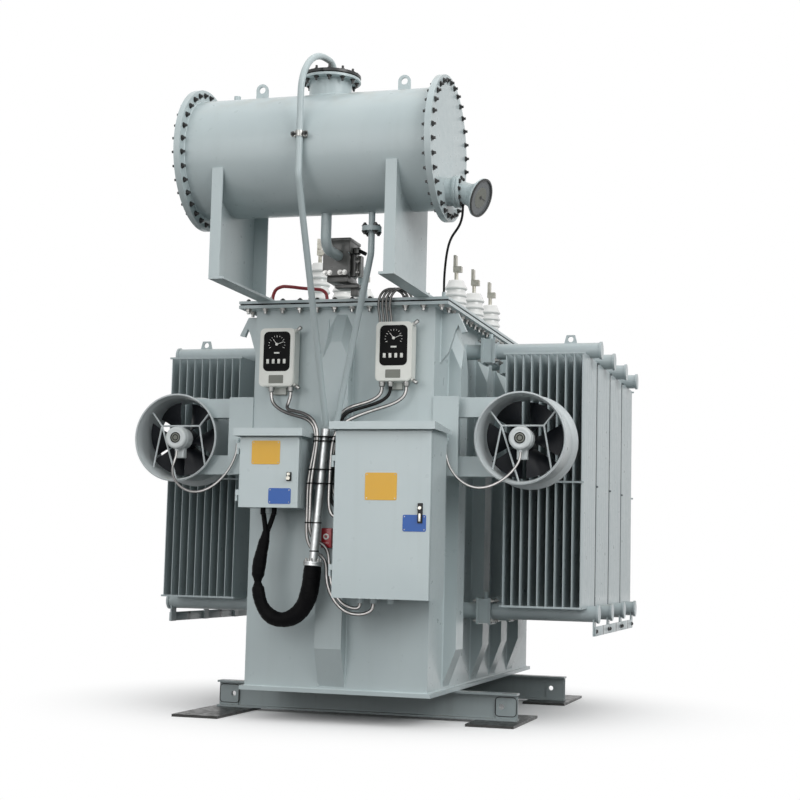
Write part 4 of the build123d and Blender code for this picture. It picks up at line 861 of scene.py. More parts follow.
class TRANSFORMER_OT_stage(Step):
    """Sets the camera, the soft light, the world and the floor"""
    bl_idname = "transformer.stage"
    bl_label = "Stage"

    EYE = (2.4967, -8.7064, 0.8147)
    YAW, PITCH, ROLL = 0.2843, 0.1040, -0.0244
    FOCAL_PIXELS, PICTURE_PIXELS = 1555.5, 800.0
    SENSOR = 36.0
    FAR = 200.0
    LAMP_WIDTH = 6.0
    LAMPS = (("key", (8.0, -5.5, 7.0), (0.3, -0.6, 1.4), 450.0),
             ("front", (-1.5, -10.0, 3.6), (-0.1, -0.8, 0.9), 205.0),
             ("crown", (0.5, -1.0, 9.5), (0.0, -0.6, 2.0), 60.0))
    SKY_STRENGTH = 0.82
    HORIZON, ZENITH = (0.74, 0.76, 0.77, 1.0), (1.0, 1.0, 1.0, 1.0)
    ZENITH_FROM = 0.75
    FLOOR_RADIUS = 60.0
    FLOOR_LIT, FLOOR_SEEN = (0.11, 0.11, 0.11, 1.0), (0.92, 0.92, 0.92, 1.0)
    FADE_FROM, FADE_TO = 0.70, 2.3

    def make(self):
        bpy.context.scene.view_settings.view_transform = "Standard"
        self.camera()
        self.lamps()
        self.sky()
        self.floor()

    def put(self, name, data):
        """Object of the given data in the scene."""
        made = bpy.data.objects.new(name, data)
        bpy.context.scene.collection.objects.link(made)
        return made

    def camera(self):
        """Camera that stands where the photograph was taken."""
        level = math.cos(self.PITCH)
        ahead = Vector((-math.sin(self.YAW) * level, math.cos(self.YAW) * level,
                        math.sin(self.PITCH)))
        right = Vector((math.cos(self.YAW), math.sin(self.YAW), 0.0))
        above = right.cross(ahead)
        across = math.cos(self.ROLL) * right - math.sin(self.ROLL) * above
        high = math.sin(self.ROLL) * right + math.cos(self.ROLL) * above
        data = bpy.data.cameras.new("camera")
        data.sensor_width = self.SENSOR
        data.lens = self.SENSOR * self.FOCAL_PIXELS / self.PICTURE_PIXELS
        data.clip_end = self.FAR
        camera = self.put("camera", data)
        turn = Matrix((across, high, -ahead)).transposed().to_4x4()
        camera.matrix_world = Matrix.Translation(self.EYE) @ turn
        bpy.context.scene.camera = camera

    def lamps(self):
        """Three wide soft lamps."""
        for name, spot, aim, power in self.LAMPS:
            data = bpy.data.lights.new(name, "AREA")
            data.size = self.LAMP_WIDTH
            data.energy = power
            lamp = self.put(name, data)
            lamp.location = spot
            toward = Vector(aim) - Vector(spot)
            lamp.rotation_euler = toward.to_track_quat("-Z", "Y").to_euler()

    def sky(self):
        """Overcast light, with a white background for the rays that show it."""
        world = bpy.data.worlds.new("overcast")
        bpy.context.scene.world = world
        world.use_nodes = True
        tree = world.node_tree
        place = add(tree, "ShaderNodeTexCoord")["Generated"]
        ramp = tree.nodes.new("ShaderNodeValToRGB")
        low, high = ramp.color_ramp.elements
        low.color, low.position = self.HORIZON, 0.0
        high.color, high.position = self.ZENITH, self.ZENITH_FROM
        height = add(tree, "ShaderNodeSeparateXYZ", {"Vector": place})["Z"]
        tree.links.new(height, ramp.inputs["Fac"])
        sky = tree.nodes["Background"]
        sky.inputs["Strength"].default_value = self.SKY_STRENGTH
        tree.links.new(ramp.outputs["Color"], sky.inputs["Color"])
        plain = add(tree, "ShaderNodeBackground", {"Color": (1.0, 1.0, 1.0, 1.0)})[0]
        mix = add(tree, "ShaderNodeMixShader", [self.shown(tree), sky.outputs[0], plain])
        tree.links.new(mix[0], tree.nodes["World Output"].inputs["Surface"])

    def floor(self):
        """Plain pale floor that fades to white away from the object."""
        mesh = bpy.data.meshes.new("floor")
        ring = bmesh.new()
        bmesh.ops.create_circle(ring, cap_ends=True, radius=self.FLOOR_RADIUS, segments=96)
        ring.to_mesh(mesh)
        ring.free()
        floor = self.put("floor", mesh)
        chalk = bpy.data.materials.new("floor")
        chalk.use_nodes = True
        tree = chalk.node_tree
        tree.nodes.remove(tree.nodes["Principled BSDF"])
        dull, pale = (add(tree, "ShaderNodeBsdfDiffuse", {"Color": colour})[0]
                      for colour in (self.FLOOR_LIT, self.FLOOR_SEEN))
        white = add(tree, "ShaderNodeEmission")[0]
        place = add(tree, "ShaderNodeTexCoord")["Object"]
        reach = add(tree, "ShaderNodeVectorMath", [place], operation="LENGTH")["Value"]
        fade = add(tree, "ShaderNodeMapRange", {
            "Value": reach, "From Min": self.FADE_FROM, "From Max": self.FADE_TO},
            interpolation_type="SMOOTHSTEP")["Result"]
        near = add(tree, "ShaderNodeMixShader", [fade, pale, white])[0]
        seen = add(tree, "ShaderNodeMixShader", [self.shown(tree), dull, near])[0]
        tree.links.new(seen, tree.nodes["Material Output"].inputs["Surface"])
        mesh.materials.append(chalk)
        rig.stage(floor)

    def shown(self, tree):
        """One for the rays that show the pale background."""
        ray = add(tree, "ShaderNodeLightPath")
        most = sums(tree, "MAXIMUM", ray["Is Camera Ray"], ray["Is Glossy Ray"])
        return sums(tree, "MAXIMUM", most, ray["Is Transmission Ray"])


class TRANSFORMER_OT_cables(Step):
    """Lays the four free cables along their routes"""
    bl_idname = "transformer.cables"
    bl_label = "Free Cables"

    TRUNK = ((-66.5, -1399.3, 790), (-68.6, -1404.1, 735), (-74, -1407, 670), (-96, -1408, 595),
             (-145, -1408, 538), (-212, -1407, 514), (-282, -1405, 530), (-334, -1402, 590),
             (-356, -1398, 680), (-356, -1392, 775), (-341, -1384, 870), (-322, -1380, 960),
             (-322, -1380, 1043.7))
    LEADS = {
        "right_fan_lead": (0.0065, (
            (923, -1177, 1371.7), (923, -1177, 1344), (912, -1186, 1312), (890, -1203, 1276),
            (858, -1224, 1240), (816, -1242, 1210), (766, -1253, 1190), (714, -1258, 1188),
            (662, -1258, 1206), (616, -1254, 1242), (582, -1248, 1288), (563, -1242, 1334),
            (556, -1240, 1372), (556, -1240, 1404.7))),
        "left_fan_lead": (0.0065, (
            (-923, -1177, 1371.7), (-923, -1177, 1346), (-931, -1187, 1314), (-932, -1206, 1276),
            (-916, -1226, 1234), (-884, -1244, 1196), (-838, -1257, 1166), (-782, -1264, 1150),
            (-724, -1266, 1158), (-670, -1262, 1186), (-624, -1256, 1228), (-589, -1249, 1277),
            (-567, -1243, 1327), (-556, -1240, 1370), (-556, -1240, 1404.7))),
        "gauge_lead": (0.006, (
            (716, -1620, 2527.7), (716, -1620, 2496), (710, -1608, 2462), (692, -1582, 2432),
            (664, -1546, 2412), (634, -1502, 2396), (606, -1452, 2370), (582, -1398, 2330),
            (562, -1344, 2284), (545, -1292, 2240), (534, -1252, 2208), (530, -1236, 2190),
            (530, -1236, 2171.3))),
    }
    LOOM, STRAND = 0.070, 0.0125
    FORK, OVERLAP = 0.120, 12
    TAPE_PITCH, TAPE_STEP = 0.034, 0.0014
    THICK_SHARES = ((0.0, 0.040), (0.05, 0.043), (0.24, 0.044), (0.36, 0.036), (0.50, 0.033),
                    (0.60, 0.031), (0.635, 0.017), (0.67, 0.030), (0.76, 0.032), (0.84, 0.028),
                    (0.89, 0.020), (1.0, 0.018))

    def make(self):
        for name, (radius, points) in self.LEADS.items():
            points = [mm(*p) for p in points]
            data = spline_of(name + "_cord", points)
            data.bevel_depth = radius
            data.bevel_resolution = 4
            data.use_fill_caps = True
            data.materials.append(FINISH["cable" if name == "gauge_lead" else "lead_white"])
            made = bpy.data.objects.new(name + "_cord", data)
            bpy.context.scene.collection.objects.link(made)
            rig.ride(made, "root")
            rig.slot(made, "cable_black" if name == "gauge_lead" else "conduit_metal")
            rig.replaces(made, name)
            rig.cord(made, exit=points[0], length=length_of(route(points)), diameter=radius * 2,
                    far_end="object", stiffness="medium", lay="hanging")
        spots = route([mm(*p) for p in self.TRUNK], 40)
        tails = Form()
        low, entry = 1.036, 1.0715
        for x in (-0.330, -0.270):
            tails.lathe([(0.0115, 0.0), (self.STRAND, 0.004), (self.STRAND, entry - low)],
                        (x, -1.424, low))
        tails = tails.piece("trunk_tails", "root", "cable_black", "loom")
        made = self.loom(spots)
        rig.replaces(made, "trunk_cable")
        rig.cord(made, exit=spots[0], length=length_of(spots), diameter=self.LOOM, far_end="object",
                stiffness="stiff", lay="hanging", path=spots, with_pieces=[tails])

    def loom(self, spots):
        """Thick taped loom that parts into two cables below the box."""
        runs = [0.0]
        for a, b in zip(spots, spots[1:]):
            runs.append(runs[-1] + (b - a).length)
        part = next(i for i, run in enumerate(runs) if runs[-1] - run < self.FORK)
        radii = []
        for run in runs[:part + self.OVERLAP]:
            lap = (run / self.TAPE_PITCH) % 1.0
            lump = 0.0012 * math.sin(run * 21.0) + 0.0010 * math.sin(run * 47.0 + 1.0)
            radii.append(self.thick(run / runs[-1]) + self.TAPE_STEP * lap + lump)
        form = Form().tube(spots[:part + self.OVERLAP], radii, 24)
        for side in (-1.0, 1.0):
            strand = []
            for spot, run in zip(spots[part:], runs[part:]):
                share = (run - runs[part]) / (runs[-1] - runs[part])
                reach = side * (0.034 * share - 0.006) + 0.006 * share
                strand.append(spot + Vector((reach, 0.010 * side * (1.0 - share), 0.0)))
            form.tube(strand, self.STRAND, 16)
        return form.piece("trunk_loom", "root", "cable_black", "loom", angle=60.0)

    def thick(self, share):
        """Radius of the loom at a share of its length."""
        for (a, low), (b, high) in zip(self.THICK_SHARES, self.THICK_SHARES[1:]):
            if share <= b:
                return low + (high - low) * (share - a) / (b - a)
        return self.THICK_SHARES[-1][1]


class TRANSFORMER_OT_fasteners(Step):
    """Sets the bolts of the rim, the flanges, the bushings and the feet"""
    bl_idname = "transformer.fasteners"
    bl_label = "Fasteners"

    def make(self):
        self.rim()
        self.conservator()
        self.flanges()

    def rim(self):
        """Bolts of the cover, with nuts under the rim."""
        side_inset, end_inset, corner_inset, cover_plate = 0.030, 0.028, 0.012, 0.014
        lead_entry, lead_clear, foot_clear = (0.530, -1.236), 0.04, 0.02
        (left, front, under), (right, rear, _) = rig.box("tank_rim")
        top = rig.box("cover_gasket")[1].z + cover_plate
        left, right = left + side_inset, right - side_inset
        front, rear = front + end_inset, rear - end_inset
        places = []
        run = right - left - 2 * corner_inset
        count = round(run / sizes().rim_pitch)
        for i in range(count + 1):
            x = left + corner_inset + run * i / count
            places += [(x, front), (x, rear)]
        count = round((rear - front) / sizes().rim_pitch)
        for i in range(1, count):
            y = front + (rear - front) * i / count
            places += [(left, y), (right, y)]
        feet = [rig.box(side + "_saddle") for side in SIDES]
        upper, lower = [], []
        for x, y in places:
            lower.append(((x, y, under), -UP))
            hidden = any(a.x - foot_clear < x < b.x + foot_clear and y < b.y + foot_clear
                         for a, b in feet)
            if not hidden and math.dist((x, y), lead_entry) > lead_clear:
                upper.append(((x, y, top), UP))
        bolts("rim_nuts", lower, "zinc", head=0.0150, stud=1.7)
        bolts("rim_heads", upper, "dark_bolt", stud=1.1)

    def conservator(self):
        """Bolts round both ends of the drum and round its neck."""
        ring, flange, neck_ring, neck_flange = 0.325, 0.016, 0.128, 0.012
        low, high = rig.box("conservator_shell")
        left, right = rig.box("conservator_left_end"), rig.box("conservator_right_end")
        y, z = (left[0].y + left[1].y) / 2, (left[0].z + left[1].z) / 2
        spots = []
        for x, out in ((left[0].x, -1.0), (right[1].x, 1.0)):
            spots += ring_spots((x, y, z), (out, 0, 0), ring, sizes().end_bolts)
        for x, out in ((low.x + flange, 1.0), (high.x - flange, -1.0)):
            spots += ring_spots((x, y, z), (-out, 0, 0), ring, sizes().end_bolts, (out, 0, 0))
        bolts("conservator_bolts", spots, "dark_bolt", head=0.0115, slot="plate_steel", stud=1.6,
              washer=0.12)
        low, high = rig.box("neck_cover")
        middle = (low + high) / 2
        spots = ring_spots((middle.x, middle.y, high.z), UP, neck_ring, 12, phase=0.5)
        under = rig.box("neck_gasket")[0].z - neck_flange
        spots += ring_spots((middle.x, middle.y, under), UP, neck_ring, 12, -UP, 0.5)
        bolts("neck_bolts", spots, "dark_bolt", head=0.0105, slot="plate_steel", stud=2.0)

    def flanges(self):
        """Bolts of the valves, the gauge, the pipes, the feet and the bushings."""
        inner, outer, square = 0.576, 0.654, (-0.053, 0.053)
        spots = []
        for n in (1, 2, 3, 4):
            low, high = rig.box(f"right_radiator_{n}")
            y = (low.y + high.y) / 2
            for z in HEADERS:
                for side in (-1, 1):
                    for dy in square:
                        for dz in square:
                            spots.append(((side * inner, y + dy, z + dz), (-side, 0, 0)))
                            spots.append(((side * outer, y + dy, z + dz), (side, 0, 0)))
        bolts("valve_bolts", spots, "zinc", head=0.011, stud=1.7)
        spots = ring_spots((0.708, DRUM_Y, GAUGE_Z), (1, 0, 0), 0.065, 10, phase=0.5)
        bolts("gauge_bolts", spots, "dark_bolt", head=0.0095, stud=1.0, washer=0.1)
        heads = []
        for z, out in ((2.432, UP), (2.408, -UP)):
            heads += ring_spots((0.262, DRUM_Y, z), UP, 0.038, 4, out, 0.5)
        spots = ring_spots((0.028, -1.010, 2.159), UP, 0.047, 4, phase=0.5)
        lean = (RISER_TOP - RISER_FOOT).normalized()
        spots += ring_spots(RISER_FOOT + lean * 0.003, lean, 0.037, 6, phase=0.5)
        foot_top = 2.157
        for side in (-1, 1):
            for x in (0.404, 0.446):
                spots += [((side * x, y, foot_top), UP) for y in (-1.075, -1.215)]
        bolts("flange_bolts", spots, "zinc", head=0.0085, stud=1.9)
        bolts("filler_bolts", heads, "dark_bolt", head=0.0125, stud=1.3, washer=0.1)
        spots, cover_top = [], 2.171
        for x in (-BUSHING_X, BUSHING_X):
            for y in BUSHING_ROWS:
                spots += ring_spots((x, y, cover_top), UP, 0.0575, 6)
        bolts("bushing_bolts", spots, "zinc", head=0.006, stud=1.6)


class TRANSFORMER_OT_welds(Step):
    """Lays weld beads along the seams of the tank and the conservator"""
    bl_idname = "transformer.welds"
    bl_label = "Weld Beads"

    def make(self):
        x, y, low, high = 0.482, 1.212, 0.174, 2.107
        foot, head = low + 0.014, high - 0.060
        lines = []
        for z in (low, high):
            corners = [(-x, -y, z), (x, -y, z), (x, y, z), (-x, y, z), (-x, -y, z)]
            lines += [[a, b] for a, b in zip(corners, corners[1:])]
        for edge in (-0.085, 0.055):
            for wall in (-y, y):
                lines.append([(edge, wall, foot), (edge, wall, head)])
        posts, post_half = (-0.858, -0.2575, 0.2135, 0.6845), 0.075
        lugs, lug_half, lug_foot, lug_head = (-1.088, 1.088), 0.0125, 1.832, 2.083
        for side in (-x, x):
            for post in posts:
                for edge in (post - post_half, post + post_half):
                    lines.append([(side, edge, foot), (side, edge, head)])
            for lug in lugs:
                for edge in (lug - lug_half, lug + lug_half):
                    lines.append([(side, edge, lug_foot), (side, edge, lug_head)])
            out = 1.0 if side > 0 else -1.0
            for row in RADIATOR_ROWS:
                for z in HEADERS:
                    lines.append(circle((side, row, z), (out, 0, 0), 0.042, 24))
        width = sizes().weld_width
        path_piece("tank_welds", lines, "bead", "bead", "tank_paint", width, 0.008, 0.5)
        rings = [circle((end, DRUM_Y, DRUM_Z), (1, 0, 0), DRUM_RADIUS, 96) for end in (-0.612, 0.612)]
        neck, neck_x, neck_radius = [], 0.030, 0.105
        for i in range(49):
            a = math.tau * i / 48
            across, along = neck_radius * math.cos(a), neck_radius * math.sin(a)
            neck.append((neck_x + across, DRUM_Y + along,
                         DRUM_Z + math.sqrt(DRUM_RADIUS ** 2 - along ** 2)))
        rings.append(neck)
        path_piece("conservator_welds", rings, "bead", "bead", "tank_paint", width, 0.010, 0.4)


class TRANSFORMER_OT_radiators(Step):
    """Adds pressings, spot welds and link plates to the radiators"""
    bl_idname = "transformer.radiators"
    bl_label = "Radiator Details"

    FACE = 1.162
    SPOT_ROWS = (0.612, 1.911)
    LINK_IN, LINK_OUT = 1.2015, 1.2085
    LINK_LOW, LINK_HIGH, LINK_BOLT = 0.4555, 0.5050, 0.480
    RIDGE_LOW, RIDGE_HIGH, RIDGE_HALF, RIDGE_LIFT, RIDGE_RUN = 0.645, 1.880, 0.024, 0.0032, 0.030

    def make(self):
        links, spots = Form(), []
        for side_name, side in zip(SIDES, (-1, 1)):
            form = Form()
            rows = []
            for n in (1, 2, 3, 4):
                low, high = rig.box(f"{side_name}_radiator_{n}")
                y = (low.y + high.y) / 2
                rows.append(y)
                for k in range(6):
                    self.ridge(form, side, y - 0.165 + 0.066 * k)
                for k in range(9):
                    for z in self.SPOT_ROWS:
                        form.lathe([(0.006, 0.0), (0.0045, 0.0018), (0.0, 0.0022)],
                                   (side * (self.FACE - 0.003), y - 0.196 + 0.049 * k, z),
                                   (side, 0, 0), 10)
            form.piece(side_name + "_radiator_pressings", "root", "radiator_paint", "radiator",
                       angle=70.0)
            for a, b in zip(rows, rows[1:]):
                inner, outer = sorted((side * self.LINK_IN, side * self.LINK_OUT))
                links.box((inner, a - 0.028, self.LINK_LOW), (outer, b - 0.034, self.LINK_HIGH),
                          0.0015)
                for y in (a, b - 0.062):
                    spots.append(((side * self.LINK_OUT, y, self.LINK_BOLT), (side, 0, 0)))
        made = links.piece("link_plates", "root", "radiator_paint", "radiator")
        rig.replaces(made, "radiator_links")
        bolts("link_bolts", spots, "dark_bolt", head=0.0095, stud=1.0, washer=0.15)

    def ridge(self, form, side, y):
        """Shallow vertical pressing on the outer plate."""
        low, high, run = self.RIDGE_LOW, self.RIDGE_HIGH, self.RIDGE_RUN
        sunk = 0.0003
        rows = []
        for z, share in ((low, 0.0), (low + run, 1.0), (high - run, 1.0), (high, 0.0)):
            row = []
            for step in (-1.0, -0.55, 0.0, 0.55, 1.0):
                lift = self.RIDGE_LIFT * share * (1.0 - step * step)
                row.append(form.bm.verts.new(
                    (side * (self.FACE - sunk + lift), y + self.RIDGE_HALF * step, z)))
            rows.append(row)
        for a, b in zip(rows, rows[1:]):
            for i in range(4):
                form.face((a[i], a[i + 1], b[i + 1], b[i]))


class TRANSFORMER_OT_fans(Step):
    """Adds the rotors, motor shells and rolled rims of the fans"""
    bl_idname = "transformer.fans"
    bl_label = "Fan Details"

    AXIS_Z = 1.440
    DUCT_RIMS, BEAD = ((0.2255, -1.1995), (0.236, -0.9130)), 0.0038
    BLADES, HUB, SKIN = 6, 0.054, 0.0013
    ROOT_HALF, TIP_GAIN = 19.0, 6.5

    def make(self):
        for name in SIDES:
            low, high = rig.box(name + "_fan_motor")
            x, z, face = (low.x + high.x) / 2, self.AXIS_Z, low.y
            form = Form()
            deep = high.y - face - 0.010
            form.lathe([(0.0525, 0.0), (0.0575, 0.003), (0.0575, deep - 0.052),
                        (0.0600, deep - 0.050), (0.0600, deep - 0.030), (0.0580, deep - 0.028),
                        (0.0580, deep - 0.008), (0.0550, deep - 0.002), (0.0500, deep + 0.0006),
                        (0.0400, deep + 0.0016), (0.0385, deep + 0.0008), (0.0300, deep + 0.0008),
                        (0.0285, deep + 0.0018)],
                       (x, face + deep, z), FRONT, 48, close=False)
            form.box((x - 0.026, high.y - 0.056, z - 0.104), (x + 0.026, high.y - 0.016, z - 0.050),
                     0.004)
            form.use(1)
            form.lathe([(0.0285, 0.0018), (0.0275, 0.0006), (0.0235, 0.0006)], (x, face, z), FRONT, 40,
                       close=False)
            form.use(2)
            form.lathe([(0.0235, 0.0006), (0.0225, 0.0020), (0.0170, 0.0024), (0.0160, 0.0010)],
                       (x, face, z), FRONT, 40, close=False)
            form.use(1).lathe([(0.0160, 0.0010), (0.0120, 0.0010)], (x, face, z), FRONT, 40,
                              close=False)
            form.use(2).lathe([(0.0120, 0.0010), (0.0110, 0.0022), (0.0, 0.0024)], (x, face, z),
                              FRONT, 40)
            form.piece(name + "_motor_shell", "root", "motor_paint", "motor", "black", "grey_plate")
            rim = Form()
            for radius, y in self.DUCT_RIMS:
                rim.tube(circle((x, y, z), FRONT, radius, 72), self.BEAD, 8, close=False)
            rim.piece(name + "_duct_beads", "root", "tank_paint", "duct", angle=70.0)
            self.rotor(name, x, z)

    def rotor(self, name, x, z):
        """Hub and broad twisted blades in the space of the CAD rotor."""
        low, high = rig.box(name + "_fan_rotor")
        reach, middle = (high.z - low.z) / 2 - 0.0005, (low.y + high.y) / 2
        half = (high.y - low.y) / 2
        form = Form()
        form.lathe([(0.0, 0.0), (0.050, 0.0), (0.0575, 0.006), (0.0575, 2 * half - 0.006),
                    (0.052, 2 * half), (0.0, 2 * half)], (x, high.y, z), FRONT, 40)
        for blade in range(self.BLADES):
            start = math.tau * blade / self.BLADES
            sheets = []
            for skin in (-self.SKIN, self.SKIN):
                rows = []
                for i in range(9):
                    radius = self.HUB + (reach - self.HUB) * i / 8
                    span = math.radians(self.ROOT_HALF + self.TIP_GAIN * i / 8)
                    row = []
                    for k in range(9):
                        share = k / 4 - 1.0
                        a = start + span * share
                        lean = half * 0.86 * (share - 0.22 * (1.0 - share * share))
                        row.append(form.bm.verts.new((x + radius * math.cos(a), middle + lean + skin,
                                                      z + radius * math.sin(a))))
                    rows.append(row)
                sheets.append(rows)
            for rows in sheets:
                for a, b in zip(rows, rows[1:]):
                    for k in range(8):
                        form.face((a[k], a[k + 1], b[k + 1], b[k]))
            near, far = ([r[0] for r in rows] + rows[-1][1:-1] + [r[-1] for r in rows[::-1]]
                         + rows[0][-2:0:-1] for rows in sheets)
            for k in range(len(near)):
                j = (k + 1) % len(near)
                form.face((near[k], near[j], far[j], far[k]))
        made = form.piece(name + "_rotor_blades", name + "_fan_rotor", "rotor_dark", "rotor")
        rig.replaces(made, name + "_fan_rotor")


class TRANSFORMER_OT_enclosures(Step):
    """Adds blank plates, rivets, lock cylinders and keys to the doors"""
    bl_idname = "transformer.enclosures"
    bl_label = "Enclosure Details"

    CYLINDER_SHARE = 0.26

    def make(self):
        for name, body, tone, spot, width, height in (
                ("cabinet_amber", "control_cabinet", "amber", (0.321, -1.552, 1.176), 0.160, 0.132),
                ("cabinet_blue", "control_cabinet", "blue", (0.4920, -1.552, 1.002), 0.116, 0.080),
                ("box_amber", "terminal_box", "amber", (-0.305, -1.474, 1.343), 0.150, 0.118),
                ("box_blue", "terminal_box", "blue", (-0.226, -1.474, 1.127), 0.118, 0.078)):
            self.plate(name + "_plate", body + "_door", tone, spot, width, height)
        for door in ("control_cabinet", "terminal_box"):
            low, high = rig.box(door + "_lock")
            middle = (low + high) / 2
            hang = middle.z + (high.z - low.z) * self.CYLINDER_SHARE
            form = Form()
            form.lathe([(0.0085, -0.002), (0.0085, 0.005), (0.0075, 0.0065), (0.0, 0.0065)],
                       (middle.x, low.y, hang), FRONT, 20)
            if door == "terminal_box":
                form.slab(rounded(0.004, 0.022, 0.0015), (middle.x, low.y - 0.006, hang - 0.004),
                          (1, 0, 0), (0, 0, 1), 0.004)
                form.slab(rounded(0.020, 0.016, 0.006), (middle.x, low.y - 0.010, hang - 0.020),
                          (1, 0, 0), (0, 0, 1), 0.0025)
            form.use(1)
            form.box((middle.x - 0.0075, low.y - 0.004, low.z + 0.006),
                     (middle.x + 0.0075, low.y + 0.002, middle.z), 0.0025)
            form.piece(door + "_lock_trim", door + "_door", "lock_black", "nickel", "black")

    def plate(self, name, body, tone, spot, width, height):
        """Blank plate with a rivet in each corner."""
        x, y, z = spot
        inset = 0.018
        form = Form()
        form.slab(rounded(width, height, 0.008), (x, y, z), (1, 0, 0), (0, 0, 1), 0.0016)
        form.use(1)
        for dx in (-0.5, 0.5):
            for dz in (-0.5, 0.5):
                form.lathe([(0.0032, 0.0), (0.0026, 0.0016), (0.0, 0.002)],
                           (x + dx * (width - inset), y - 0.0014, z + dz * (height - inset)),
                           FRONT, 10)
        form.piece(name, body, "instrument_case", tone, "zinc")


